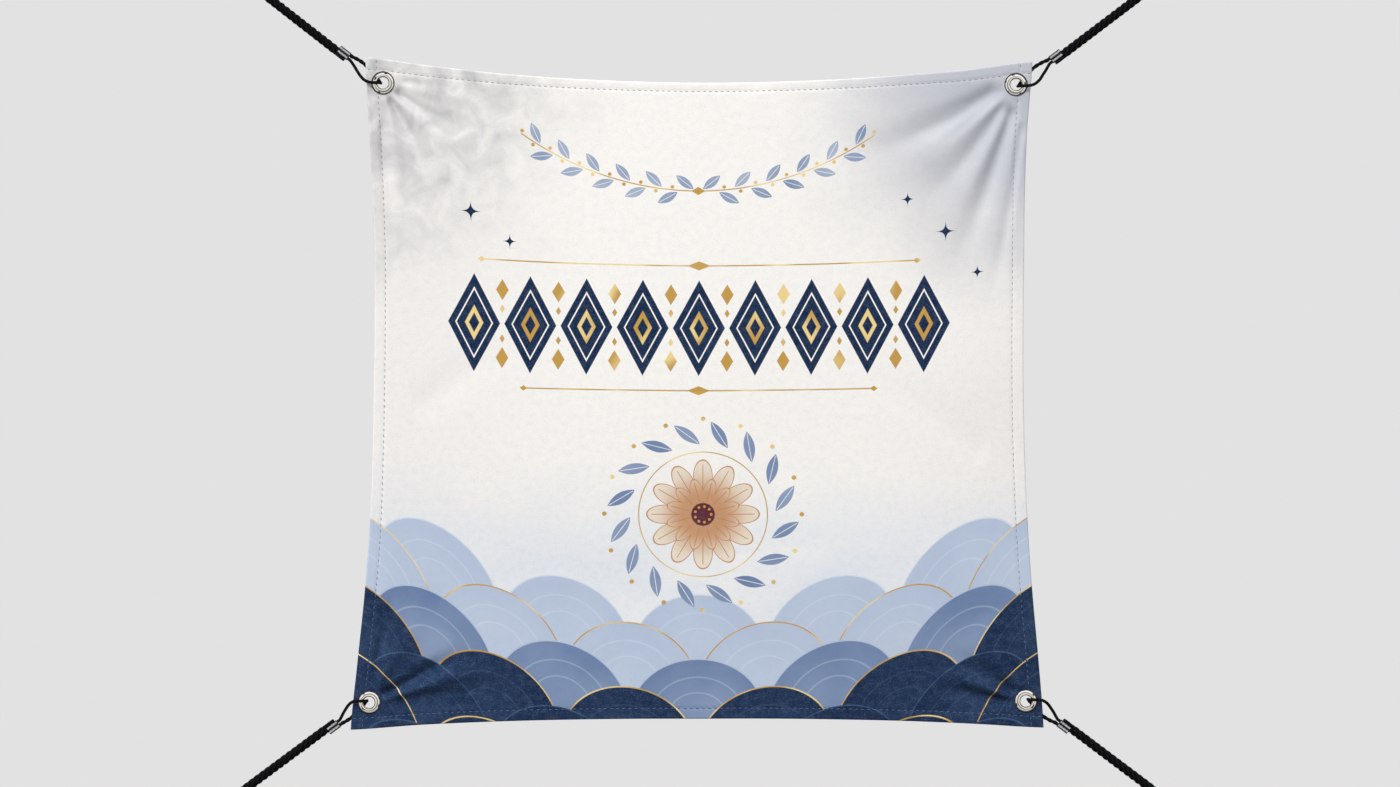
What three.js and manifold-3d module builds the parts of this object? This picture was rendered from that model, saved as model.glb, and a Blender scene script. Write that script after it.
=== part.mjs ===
// A square banner of canvas-weight cloth, held out at its corners by four twisted ropes.
// Each corner has a rolled nickel eyelet, a thin cord loop through it, a two-barrel ferrule that clamps
// both ends of the loop, a short cord tail beside the ferrule, and a thick rope that ends in a seized eye.
// Millimetres. X points right as seen from the front, Y points to the back, Z up.
// The origin is the middle of the top edge, halfway through the cloth.
import * as THREE from "three";
import { mergeVertices } from "three/addons/utils/BufferGeometryUtils.js";
import Module from "manifold-3d";

const wasm = await Module();
wasm.setup();

// Cloth: its corners as [x, z], and how far each edge is drawn in at every tenth of the way along it,
// left to right for top and bottom, downwards for left and right.
const CLOTH_CORNERS = {
  top_left: [-302.4, 23.1],
  top_right: [300.4, 19.4],
  bottom_left: [-315.8, -584.7],
  bottom_right: [310.6, -582.7],
};
const EDGE_DRAWN_IN = {
  top: [0, 7.4, 13.7, 17.9, 20.3, 21.2, 20.1, 17.5, 13.3, 8.0, 0],
  bottom: [0, 4.2, 6.8, 8.3, 9.0, 9.0, 8.9, 8.0, 6.4, 3.6, 0],
  left: [0, 4.6, 9.1, 12.3, 13.6, 14.2, 14.2, 13.2, 9.7, 4.7, 0],
  right: [0, 5.6, 8.9, 10.6, 12.2, 13.1, 12.7, 11.1, 7.9, 3.5, 0],
};
const CLOTH_SIDE = 612; // the usual length of a side, for spacing the grid
const CLOTH_THICKNESS = 1.2;
const HEM_WIDTH = 10.5;
const HEM_EXTRA = 0.8; // the turned-in layers behind the hem and round the eyelets
const GRID_CELLS = 32; // across the cloth, each way
const GRID_GROWTH = 1.15; // each cell is this much wider than its neighbour nearer the edge

// Folds that run out from the eyelets: from [x0, z0] to [x1, z1], bowed sideways by bow in the middle,
// wide0 and wide1 the half widths at the two ends, deep how far the trough is pushed to the back.
const FOLDS = [
  { x0: 272.1, z0: -2.7, x1: 131.1, z1: -69.6, bow: 5.4, wide0: 4.5, wide1: 13.6, deep: 3.2 },
  { x0: 273.9, z0: -9.9, x1: 203.4, z1: -69.6, bow: 0.0, wide0: 2.7, wide1: 6.3, deep: 1.4 },
  { x0: 277.5, z0: -15.4, x1: 194.4, z1: -119.3, bow: 3.6, wide0: 3.2, wide1: 9.9, deep: 2.8 },
  { x0: 283.9, z0: -19.0, x1: 224.2, z1: -182.6, bow: 3.6, wide0: 3.2, wide1: 9.0, deep: 4.0 },
  { x0: 291.1, z0: -33.4, x1: 257.6, z1: -223.3, bow: 2.7, wide0: 3.6, wide1: 7.2, deep: 1.6 },
  { x0: -273.9, z0: 2.7, x1: -207.9, z1: -15.4, bow: 0.0, wide0: 3.2, wide1: 7.2, deep: 1.6 },
  { x0: -276.6, z0: -5.4, x1: -221.5, z1: -56.0, bow: 0.0, wide0: 3.2, wide1: 8.1, deep: 2.0 },
  { x0: -282.0, z0: -11.8, x1: -257.6, z1: -60.6, bow: 0.0, wide0: 2.7, wide1: 5.4, deep: 2.2 },
  { x0: -285.7, z0: -13.6, x1: -274.8, z1: -223.3, bow: 0.0, wide0: 3.6, wide1: 8.1, deep: 1.5 },
  { x0: -288.4, z0: -556.0, x1: -207.9, z1: -510.8, bow: 0.0, wide0: 3.2, wide1: 7.2, deep: 3.0 },
  { x0: -285.7, z0: -559.6, x1: -153.7, z1: -543.3, bow: 0.0, wide0: 3.6, wide1: 10.8, deep: 1.8 },
  { x0: 284.8, z0: -552.3, x1: 230.5, z1: -512.6, bow: 0.0, wide0: 3.6, wide1: 9.9, deep: 3.0 },
  { x0: 283.0, z0: -561.4, x1: 212.4, z1: -543.3, bow: 0.0, wide0: 3.2, wide1: 9.0, deep: 2.6 },
  { x0: 291.1, z0: -546.9, x1: 264.0, z1: -483.6, bow: 0.0, wide0: 3.2, wide1: 7.2, deep: 1.6 },
];
const FOLD_RISE = 0.18; // share of a fold over which it deepens
const FOLD_FADE = 0.65; // share of a fold over which it dies out

// Broad unevenness of the hanging cloth: round swells at [x, z], wide across, deep to the back.
const SWELLS = [
  { x: 0, z: -250, wide: 190, deep: -2.0 },
  { x: 190, z: -60, wide: 70, deep: -1.6 },
  { x: 250, z: -260, wide: 60, deep: -1.4 },
  { x: -210, z: -110, wide: 80, deep: -1.5 },
  { x: -120, z: -480, wide: 110, deep: 1.4 },
  { x: 170, z: -470, wide: 90, deep: -1.3 },
];

// Eyelet: profiles as [radius, y], turned about the line through the hole
const EYELET_PROFILE = [
  [5.2, -1.6],
  [6.0, -2.3],
  [7.2, -2.6],
  [8.9, -2.1],
  [10.2, -1.4],
  [10.6, -0.9],
  [5.9, -0.9],
  [5.9, 2.1],
  [7.2, 2.1],
  [7.0, 2.7],
  [5.2, 2.7],
];
const WASHER_PROFILE = [
  [6.2, 0.9],
  [10.0, 0.9],
  [9.6, 1.8],
  [6.2, 1.8],
];
const EYELET_SIDES = 16;
const CLOTH_HOLE_RADIUS = 6.4;
const FRONT_SEAT_RADIUS = 11.1;
const BACK_SEAT_RADIUS = 10.6;
const SEAT_LEVEL = 0.55; // the cloth is pressed to this level on both faces under the metal
const SEAT_REACH = 12;
const SEAT_SIDES = 20;
const PRESSED_RADIUS = 12.5; // the cloth lies flat to here, and its folds are whole beyond FREE_RADIUS
const FREE_RADIUS = 21;

// Cords and ropes
const CORD_DIAMETER = 2.8;
const CORD_SIDES = 8;
const LOOP_STEPS = 24;
const ROPE_DIAMETER = 8.6;
const ROPE_STRANDS = 4;
const ROPE_LAY = 24; // one whole turn of a strand
const ROPE_GROOVE = 0.8; // depth of the grooves between strands
const LOOP_LEAD = 2.4; // straight length of a loop where it leaves a barrel
const GAP = 0.3; // between pieces that meet

// Ferrule: two barrels side by side
const BARREL_RADIUS = 2.1;
const BARREL_OFFSET = 1.85; // from the ferrule's middle to each barrel's
const FERRULE_LENGTH = 11.4;
const FERRULE_BEVEL = 0.3;

// Tail: lies against the barrel on its side of the ferrule, a little to the front
const TAIL_LENGTH = 10.6;
const TAIL_ASIDE = 4.9;
const TAIL_FORWARD = -2.3;

// Rope: starts behind the ferrule, a little towards the tail's side, and runs straight to its end eye.
// The eye's middle line as [along, aside] from the end of the straight run.
const ROPE_ASIDE = 2.5;
const ROPE_START = FERRULE_LENGTH / 2 + GAP;
const EYE_ROUTE = [
  [8, -0.8],
  [16, -3.5],
  [24, -7.6],
  [32, -11.2],
  [41, -12.7],
  [49.6, -10.3],
  [55.9, -4.0],
  [58.2, 4.6],
  [55.9, 13.2],
  [49.6, 19.5],
  [41, 21.9],
  [32, 20.4],
  [24, 16.8],
  [16, 12.7],
  [8, 10.0],
  [0, 9.2],
  [-8, 9.2],
  [-16, 9.2],
];
const TAIL_SPACING = 9.2; // between the middle lines of the straight run and the folded-back end

// Seizing: an oval sleeve round both runs of rope
const SEIZING_LENGTH = 12;
const SEIZING_WALL = 1.2;

// The four corners: the eyelet's and the ferrule's middles as [x, z], the rope's direction away from the
// cloth in degrees, the side of the ferrule that the tail and the rope lie on (1 left of that direction,
// -1 right), the rope's straight run, its hand (1 right-laid, -1 left-laid), and the loop's middle line
// between the short straight ends that come out of the ferrule's barrels.
const CORNERS = {
  top_left: {
    eyelet: [-286.6, 0],
    ferrule: [-321.9, 27.2],
    direction: 142.1,
    side: 1,
    straight: 101,
    hand: 1,
    loop: [
      [-312.6, -1.0, 15.4], [-309.8, -1.9, 10.8], [-306.8, -2.8, 6.3], [-303.4, -3.6, 2.7],
      [-299.4, -4.3, 0.6], [-294.2, -4.6, 0.0], [-291.4, -3.9, 0.0], [-289.4, -1.9, 0.0],
      [-288.7, 0.9, 0.0], [-289.1, 3.6, 0.6], [-290.3, 5.7, 2.2], [-291.9, 6.4, 4.4],
      [-297.0, 6.1, 9.9], [-301.2, 5.2, 15.2], [-306.1, 3.7, 19.3], [-311.0, 1.9, 22.2],
    ],
  },
  top_right: {
    eyelet: [285.7, -1.4],
    ferrule: [321.9, 24.2],
    direction: 37.1,
    side: -1,
    straight: 105,
    hand: -1,
    loop: [
      [312.8, -1.0, 11.9], [309.7, -1.9, 7.1], [306.5, -2.8, 2.4], [302.7, -3.6, -0.9],
      [298.6, -4.3, -2.5], [293.3, -4.6, -2.9], [290.3, -3.9, -2.9], [288.2, -1.9, -2.9],
      [287.5, 0.9, -2.9], [287.9, 3.6, -2.3], [289.2, 5.7, -0.7], [291.0, 6.4, 1.5],
      [295.2, 6.1, 6.5], [299.5, 5.2, 11.9], [304.8, 3.7, 16.1], [310.3, 1.9, 19.1],
    ],
  },
  bottom_left: {
    eyelet: [-299.2, -560],
    ferrule: [-331.5, -582.4],
    direction: 216.5,
    side: -1,
    straight: 109,
    hand: -1,
    loop: [
      [-322.7, -1.0, -570.2], [-320.0, -1.9, -565.7], [-317.0, -2.8, -561.6], [-313.5, -3.7, -559.0],
      [-310.1, -4.4, -558.4], [-306.8, -4.6, -558.4], [-303.9, -3.9, -558.4], [-301.8, -1.9, -558.4],
      [-301.0, 0.9, -558.4], [-301.5, 3.6, -559.0], [-302.9, 5.7, -560.5], [-304.8, 6.4, -562.6],
      [-308.6, 6.1, -566.6], [-311.9, 5.2, -570.7], [-315.9, 3.7, -574.3], [-320.6, 1.9, -577.3],
    ],
  },
  bottom_right: {
    eyelet: [294.7, -558.7],
    ferrule: [329.1, -581.9],
    direction: 323.1,
    side: 1,
    straight: 108,
    hand: 1,
    loop: [
      [320.0, -1.0, -569.5], [316.9, -1.9, -564.7], [313.5, -2.8, -560.4], [309.5, -3.7, -557.9],
      [305.9, -4.4, -557.3], [302.3, -4.6, -557.2], [299.4, -3.9, -557.2], [297.2, -1.9, -557.2],
      [296.5, 0.9, -557.2], [297.0, 3.6, -557.8], [298.3, 5.7, -559.4], [300.3, 6.4, -561.5],
      [303.7, 6.1, -566.1], [307.7, 5.2, -570.3], [312.2, 3.7, -573.9], [317.5, 1.9, -576.8],
    ],
  },
};

const MATERIALS = {
  cloth: new THREE.MeshStandardMaterial({ color: 0xf3efe8, roughness: 0.9, metalness: 0 }),
  nickel: new THREE.MeshStandardMaterial({ color: 0xc9c4bd, roughness: 0.18, metalness: 1 }),
  ferrule: new THREE.MeshStandardMaterial({ color: 0xd8d8d8, roughness: 0.3, metalness: 1 }),
  cord: new THREE.MeshStandardMaterial({ color: 0x121213, roughness: 0.85, metalness: 0 }),
};

function smooth(share) {
  return THREE.MathUtils.smoothstep(share, 0, 1);
}

// Welds the shared corners of a geometry, so that it is one closed surface.
function welded(geometry) {
  geometry.deleteAttribute("normal");
  geometry.deleteAttribute("uv");
  return mergeVertices(geometry, 1e-4);
}

function solidOf(geometry) {
  const closed = welded(geometry);
  return new wasm.Manifold(
    new wasm.Mesh({
      numProp: 3,
      vertProperties: closed.attributes.position.array,
      triVerts: new Uint32Array(closed.index.array),
    }),
  );
}

function geometryOf(solid) {
  const { vertProperties, triVerts } = solid.getMesh();
  const geometry = new THREE.BufferGeometry();
  geometry.setAttribute("position", new THREE.BufferAttribute(vertProperties, 3));
  geometry.setIndex(new THREE.BufferAttribute(triVerts, 1));
  return geometry;
}

// A function that gives an edge's point at a share of the way from one corner to the other,
// drawn in towards the middle of the cloth.
function edgeCurve(from, to, drawnIn, inward) {
  const along = new THREE.Vector2(to[0] - from[0], to[1] - from[1]);
  const across = new THREE.Vector2(-along.y, along.x).normalize().multiplyScalar(inward);
  const tenth = 1 / (drawnIn.length - 1);
  const bow = new THREE.SplineCurve(drawnIn.map((depth, i) => new THREE.Vector2(i * tenth, depth)));
  return (share) => {
    const depth = bow.getPoint(share).y;
    return new THREE.Vector2(...from).addScaledVector(along, share).addScaledVector(across, depth);
  };
}

const EDGES = {
  top: edgeCurve(CLOTH_CORNERS.top_left, CLOTH_CORNERS.top_right, EDGE_DRAWN_IN.top, -1),
  bottom: edgeCurve(CLOTH_CORNERS.bottom_left, CLOTH_CORNERS.bottom_right, EDGE_DRAWN_IN.bottom, 1),
  left: edgeCurve(CLOTH_CORNERS.top_left, CLOTH_CORNERS.bottom_left, EDGE_DRAWN_IN.left, 1),
  right: edgeCurve(CLOTH_CORNERS.top_right, CLOTH_CORNERS.bottom_right, EDGE_DRAWN_IN.right, -1),
};

// The cloth's point [x, z] at shares u across and v down: the four edges blended over the inside.
function clothPoint(u, v) {
  const point = new THREE.Vector2()
    .addScaledVector(EDGES.top(u), 1 - v)
    .addScaledVector(EDGES.bottom(u), v)
    .addScaledVector(EDGES.left(v), 1 - u)
    .addScaledVector(EDGES.right(v), u);
  const { top_left, top_right, bottom_left, bottom_right } = CLOTH_CORNERS;
  return point
    .addScaledVector(new THREE.Vector2(...top_left), -(1 - u) * (1 - v))
    .addScaledVector(new THREE.Vector2(...top_right), -u * (1 - v))
    .addScaledVector(new THREE.Vector2(...bottom_left), -(1 - u) * v)
    .addScaledVector(new THREE.Vector2(...bottom_right), -u * v);
}

// How far a fold pushes the cloth to the back at [x, z]: a rounded trough along a bowed line.
function foldDepth(fold, x, z) {
  const [dx, dz] = [fold.x1 - fold.x0, fold.z1 - fold.z0];
  const length = Math.hypot(dx, dz);
  const share = ((x - fold.x0) * dx + (z - fold.z0) * dz) / length ** 2;
  if (share <= 0 || share >= 1) return 0;
  const sideways = ((z - fold.z0) * dx - (x - fold.x0) * dz) / length;
  const off = sideways - fold.bow * 4 * share * (1 - share);
  const halfWidth = THREE.MathUtils.lerp(fold.wide0, fold.wide1, share);
  const strength = smooth(share / FOLD_RISE) * smooth((1 - share) / FOLD_FADE);
  return fold.deep * strength * Math.exp(-((off / halfWidth) ** 2));
}

// The cloth's middle surface: folds and swells, pressed flat round each eyelet.
function clothDepth(x, z) {
  let depth = 0;
  for (const fold of FOLDS) depth += foldDepth(fold, x, z);
  for (const swell of SWELLS) {
    depth += swell.deep * Math.exp(-(((x - swell.x) ** 2 + (z - swell.z) ** 2) / swell.wide ** 2));
  }
  return depth * eyeletFreedom(x, z);
}

// 0 on the flat cloth round an eyelet, 1 where it is free to fold.
function eyeletFreedom(x, z) {
  const away = Math.min(
    ...Object.values(CORNERS).map(({ eyelet }) => Math.hypot(x - eyelet[0], z - eyelet[1])),
  );
  return THREE.MathUtils.smoothstep(away, PRESSED_RADIUS, FREE_RADIUS);
}

// Shares of the way across at which the grid's lines lie: the edge, two lines for the hem, and then
// cells that grow towards the middle.
function gridShares() {
  const half = GRID_CELLS / 2;
  const hem = HEM_WIDTH / CLOTH_SIDE;
  const shares = [0, hem / 2, hem];
  const free = half - 2;
  const whole = (GRID_GROWTH ** free - 1) / (GRID_GROWTH - 1);
  for (let i = 1; i <= free; i++) {
    const grown = (GRID_GROWTH ** i - 1) / (GRID_GROWTH - 1);
    shares.push(hem + ((0.5 - hem) * grown) / whole);
  }
  for (let i = half - 1; i >= 0; i--) shares.push(1 - shares[i]);
  return shares;
}

// A plate of grid cells, its front and back faces moved onto the hanging cloth. The hem and the corners
// round the eyelets are thicker, to the back.
function hangingCloth() {
  const shares = gridShares();
  const geometry = new THREE.BoxGeometry(1, 1, 1, GRID_CELLS, 1, GRID_CELLS);
  const position = geometry.attributes.position;
  for (let i = 0; i < position.count; i++) {
    const column = Math.round((position.getX(i) + 0.5) * GRID_CELLS);
    const row = Math.round((0.5 - position.getZ(i)) * GRID_CELLS);
    const { x, y: z } = clothPoint(shares[column], shares[row]);
    const inHem = Math.min(column, row, GRID_CELLS - column, GRID_CELLS - row) < 2;
    const doubled = inHem || eyeletFreedom(x, z) < 1 ? HEM_EXTRA : 0;
    const isBack = position.getY(i) > 0;
    const face = isBack ? CLOTH_THICKNESS / 2 + doubled : -CLOTH_THICKNESS / 2;
    position.setXYZ(i, x, clothDepth(x, z) + face, z);
  }
  return geometry;
}

// A round cutter on an eyelet's line, from one y to another.
function cutter([x, z], radius, fromY, toY) {
  const geometry = new THREE.CylinderGeometry(radius, radius, toY - fromY, SEAT_SIDES);
  geometry.translate(x, (fromY + toY) / 2, z);
  return solidOf(geometry);
}

function bannerCloth() {
  let cloth = solidOf(hangingCloth());
  for (const { eyelet } of Object.values(CORNERS)) {
    cloth = cloth
      .subtract(cutter(eyelet, CLOTH_HOLE_RADIUS, -SEAT_REACH, SEAT_REACH))
      .subtract(cutter(eyelet, FRONT_SEAT_RADIUS, -SEAT_REACH, -SEAT_LEVEL))
      .subtract(cutter(eyelet, BACK_SEAT_RADIUS, SEAT_LEVEL, SEAT_REACH));
  }
  return geometryOf(cloth);
}

// A ring turned about Y from a closed profile of [radius, y].
function turnedRing(profile) {
  const points = [...profile, profile[0]].map(([radius, y]) => new THREE.Vector2(radius, y));
  return new THREE.LatheGeometry(points, EYELET_SIDES);
}

function circleShape(radius, sides) {
  const shape = new THREE.Shape();
  for (let i = 0; i < sides; i++) {
    const angle = (2 * Math.PI * i) / sides;
    const point = [radius * Math.cos(angle), radius * Math.sin(angle)];
    if (i === 0) shape.moveTo(...point);
    else shape.lineTo(...point);
  }
  return shape;
}

function cordTube(path) {
  return new THREE.ExtrudeGeometry(circleShape(CORD_DIAMETER / 2, CORD_SIDES), {
    steps: LOOP_STEPS,
    extrudePath: path,
    bevelEnabled: false,
  });
}

// A twisted rope: a column with two sides for each strand, every other one a ridge, carried along the
// path and turned with the strands. At each step it turns by one side, so the ridges run along its edges.
// A right-laid rope is the left-laid one turned inside out, and its faces are turned back.
function twistedRope(path, hand) {
  const sides = 2 * ROPE_STRANDS;
  const length = path.getLength();
  const steps = Math.round((length / ROPE_LAY) * sides);
  const frames = path.computeFrenetFrames(steps, false);
  const geometry = new THREE.CylinderGeometry(1, 1, 1, sides, steps);
  const position = geometry.attributes.position;
  for (let i = 0; i < position.count; i++) {
    const [x, z] = [position.getX(i), position.getZ(i)];
    const step = Math.round((position.getY(i) + 0.5) * steps);
    const fromNormal = Math.atan2(-z, x);
    const isRidge = Math.round((fromNormal / (2 * Math.PI)) * sides) % 2 === 0;
    const radius = Math.hypot(x, z) * (ROPE_DIAMETER / 2 - (isRidge ? 0 : ROPE_GROOVE));
    const turn = (2 * Math.PI * length * step) / (steps * ROPE_LAY);
    const angle = -hand * (fromNormal - turn);
    const point = path
      .getPointAt(step / steps)
      .addScaledVector(frames.normals[step], radius * Math.cos(angle))
      .addScaledVector(frames.binormals[step], radius * Math.sin(angle));
    position.setXYZ(i, point.x, point.y, point.z);
  }
  if (hand > 0) turnFaces(geometry);
  return geometry;
}

function turnFaces(geometry) {
  const index = geometry.index;
  for (let i = 0; i < index.count; i += 3) {
    const first = index.getX(i);
    index.setX(i, index.getX(i + 1));
    index.setX(i + 1, first);
  }
}

// Two barrels side by side along the shape's X, as one outline.
function ferruleShape() {
  const waist = Math.acos(BARREL_OFFSET / BARREL_RADIUS);
  const shape = new THREE.Shape();
  shape.absarc(BARREL_OFFSET, 0, BARREL_RADIUS, -Math.PI + waist, Math.PI - waist, false);
  shape.absarc(-BARREL_OFFSET, 0, BARREL_RADIUS, waist, 2 * Math.PI - waist, false);
  return shape;
}

function ferruleBody() {
  const geometry = new THREE.ExtrudeGeometry(ferruleShape(), {
    depth: FERRULE_LENGTH - 2 * FERRULE_BEVEL,
    bevelThickness: FERRULE_BEVEL,
    bevelSize: FERRULE_BEVEL,
    bevelOffset: -FERRULE_BEVEL,
    bevelSegments: 1,
    curveSegments: 6,
  });
  return geometry.translate(0, 0, -FERRULE_LENGTH / 2 + FERRULE_BEVEL);
}

function cordTail() {
  const radius = CORD_DIAMETER / 2;
  const profile = [
    [0, 0],
    [radius, 0],
    [radius, TAIL_LENGTH - 0.9],
    [0.6 * radius, TAIL_LENGTH - 0.1],
    [0, TAIL_LENGTH],
  ];
  return new THREE.LatheGeometry(
    profile.map(([r, y]) => new THREE.Vector2(r, y)),
    CORD_SIDES,
  );
}

function ovalOutline(path, radius) {
  path.absarc(0, 0, radius, Math.PI / 2, (3 * Math.PI) / 2, false);
  path.absarc(TAIL_SPACING, 0, radius, -Math.PI / 2, Math.PI / 2, false);
  return path;
}

function seizingSleeve() {
  const inside = ROPE_DIAMETER / 2 + GAP;
  const shape = ovalOutline(new THREE.Shape(), inside + SEIZING_WALL);
  shape.holes.push(ovalOutline(new THREE.Path(), inside));
  return new THREE.ExtrudeGeometry(shape, {
    depth: SEIZING_LENGTH,
    curveSegments: 6,
    bevelEnabled: false,
  });
}

// A corner's own directions: out along the rope, aside towards the tail, and the ferrule's middle.
function cornerFrame({ ferrule, direction, side }) {
  const angle = THREE.MathUtils.degToRad(direction);
  const out = new THREE.Vector3(Math.cos(angle), 0, Math.sin(angle));
  const aside = new THREE.Vector3(-Math.sin(angle), 0, Math.cos(angle)).multiplyScalar(side);
  const middle = new THREE.Vector3(ferrule[0], 0, ferrule[1]);
  const at = (along, across, y = 0) =>
    middle.clone().addScaledVector(out, along).addScaledVector(aside, across).setY(y);
  return { out, aside, at };
}

// The rope's middle line: four steps over the straight run, then the eye and the folded-back end,
// on the side away from the cord tail.
function ropePath(corner, frame) {
  const spot = ([along, aside]) => frame.at(ROPE_START + along, ROPE_ASIDE - aside);
  const straight = [0, 0.25, 0.5, 0.75, 1].map((share) => spot([share * corner.straight, 0]));
  const eye = EYE_ROUTE.map(([along, aside]) => spot([corner.straight + along, aside]));
  return new THREE.CatmullRomCurve3([...straight, ...eye], false, "centripetal");
}

// A loop's middle line: out of the barrel on the tail's side, through the eyelet from the front, and back
// behind the cloth into the other barrel.
function loopPath(corner, frame) {
  const [near, far] = [FERRULE_LENGTH / 2 + GAP, FERRULE_LENGTH / 2 + GAP + LOOP_LEAD];
  const front = [near, far].map((along) => frame.at(-along, BARREL_OFFSET));
  const back = [far, near].map((along) => frame.at(-along, -BARREL_OFFSET));
  const middle = corner.loop.map((point) => new THREE.Vector3(...point));
  return new THREE.CatmullRomCurve3([...front, ...middle, ...back], false, "centripetal");
}

// Turns a mesh so that its own X lies along acrossDirection and its own Z along lengthDirection.
function aim(mesh, acrossDirection, lengthDirection) {
  const third = new THREE.Vector3().crossVectors(lengthDirection, acrossDirection);
  const basis = new THREE.Matrix4().makeBasis(acrossDirection, third, lengthDirection);
  mesh.quaternion.setFromRotationMatrix(basis);
}

const banner = new THREE.Group();

function addPiece(name, geometry, material) {
  const mesh = new THREE.Mesh(geometry, material);
  mesh.name = name;
  banner.add(mesh);
  return mesh;
}

function addCorner(name, corner) {
  const frame = cornerFrame(corner);
  const [x, z] = corner.eyelet;
  addPiece(`eyelet_${name}`, turnedRing(EYELET_PROFILE), MATERIALS.nickel).position.set(x, 0, z);
  addPiece(`washer_${name}`, turnedRing(WASHER_PROFILE), MATERIALS.nickel).position.set(x, 0, z);

  addPiece(`loop_${name}`, cordTube(loopPath(corner, frame)), MATERIALS.cord);

  const ferrule = addPiece(`ferrule_${name}`, ferruleBody(), MATERIALS.ferrule);
  ferrule.position.copy(frame.at(0, 0));
  aim(ferrule, frame.aside, frame.out);

  const tail = addPiece(`tail_${name}`, cordTail(), MATERIALS.cord);
  tail.position.copy(frame.at(FERRULE_LENGTH / 2, TAIL_ASIDE, TAIL_FORWARD));
  tail.quaternion.setFromUnitVectors(new THREE.Vector3(0, 1, 0), frame.out.clone().negate());

  const rope = twistedRope(ropePath(corner, frame), corner.hand);
  addPiece(`rope_${name}`, rope, MATERIALS.cord);

  const seizing = addPiece(`seizing_${name}`, seizingSleeve(), MATERIALS.cord);
  const seizingStart = ROPE_START + corner.straight - SEIZING_LENGTH;
  seizing.position.copy(frame.at(seizingStart, ROPE_ASIDE));
  aim(seizing, frame.aside.clone().negate(), frame.out);
}

addPiece("banner_cloth", bannerCloth(), MATERIALS.cloth);
for (const [name, corner] of Object.entries(CORNERS)) addCorner(name, corner);

export default banner;
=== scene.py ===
# A square canvas banner held out at its corners by four black twisted ropes.
# Metres, in the frame of the solids: X right as seen from the front, Y to the back, Z up, and the origin
# in the middle of the top edge, halfway through the cloth.
import math

import bmesh
import bpy
import numpy as np
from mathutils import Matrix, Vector


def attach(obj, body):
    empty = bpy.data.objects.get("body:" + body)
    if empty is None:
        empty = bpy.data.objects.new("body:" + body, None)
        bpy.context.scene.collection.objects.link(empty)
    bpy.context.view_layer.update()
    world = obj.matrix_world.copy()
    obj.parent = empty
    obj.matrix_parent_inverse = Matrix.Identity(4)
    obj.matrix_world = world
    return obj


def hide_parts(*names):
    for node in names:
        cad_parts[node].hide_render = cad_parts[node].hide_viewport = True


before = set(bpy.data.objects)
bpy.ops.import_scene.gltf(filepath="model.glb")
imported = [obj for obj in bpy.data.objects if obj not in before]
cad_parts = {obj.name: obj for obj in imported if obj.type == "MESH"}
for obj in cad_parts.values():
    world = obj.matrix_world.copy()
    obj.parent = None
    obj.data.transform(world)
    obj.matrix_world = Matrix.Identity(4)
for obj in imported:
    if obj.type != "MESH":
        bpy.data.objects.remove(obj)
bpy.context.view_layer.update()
MM = 0.001

# Photograph: its size in pixels, its middle, and what one pixel is on the banner
PICTURE_WIDTH = 1400
PIXEL = 0.904 * MM
VIEW_MIDDLE_Z = -0.2807
LENS = 85.0
SENSOR = 36.0

# Cloth outline: its corners as (x, z), and how many millimetres each edge is drawn in at every tenth
CLOTH_CORNERS = {
    "top_left": (-0.3024, 0.0231),
    "top_right": (0.3004, 0.0194),
    "bottom_left": (-0.3158, -0.5847),
    "bottom_right": (0.3106, -0.5827),
}
EDGE_DRAWN_IN = {
    "top": (0, 7.4, 13.7, 17.9, 20.3, 21.2, 20.1, 17.5, 13.3, 8, 0),
    "bottom": (0, 4.2, 6.8, 8.3, 9, 9, 8.9, 8, 6.4, 3.6, 0),
    "left": (0, 4.6, 9.1, 12.3, 13.6, 14.2, 14.2, 13.2, 9.7, 4.7, 0),
    "right": (0, 5.6, 8.9, 10.6, 12.2, 13.1, 12.7, 11.1, 7.9, 3.5, 0),
}
CLOTH_SIDE = 0.612  # the usual length of a side
FRONT_FACE = -0.6 * MM
BACK_FACE = 0.0
HEM_BACK = 0.75 * MM  # back of the turned hem
HEM_LAP = 0.25 * MM  # more where two hems cross at a corner
HEM_WIDTH = 11.6 * MM
EDGE_ROUND = 0.55 * MM  # how far both faces curve in at the very edge
EDGE_ROUND_WIDTH = 1.4 * MM
STITCH_INSET = {"top": (8.2 * MM, 10.6 * MM), "bottom": (10.1 * MM,) * 2, "left": (10.1 * MM,) * 2,
                "right": (10.9 * MM,) * 2}  # from the edge, at its middle and at its ends
STITCH_GROOVE = 0.3 * MM
STITCH_GROOVE_WIDTH = 1.3 * MM

# Grid lines of the cloth across the hem, from the edge, and the cells of the inside, finer near the hem
HEM_LINES = (0, 0.25, 0.7, 1.4, 2.4, 3.7, 5.2, 6.8, 8.0, 9.0, 9.8, 10.6, 11.3, 11.5, 11.7, 12.6, 13.8)
INSIDE_CELLS = 91  # from there to the middle
FINEST_CELL = 1.7 * MM

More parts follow.
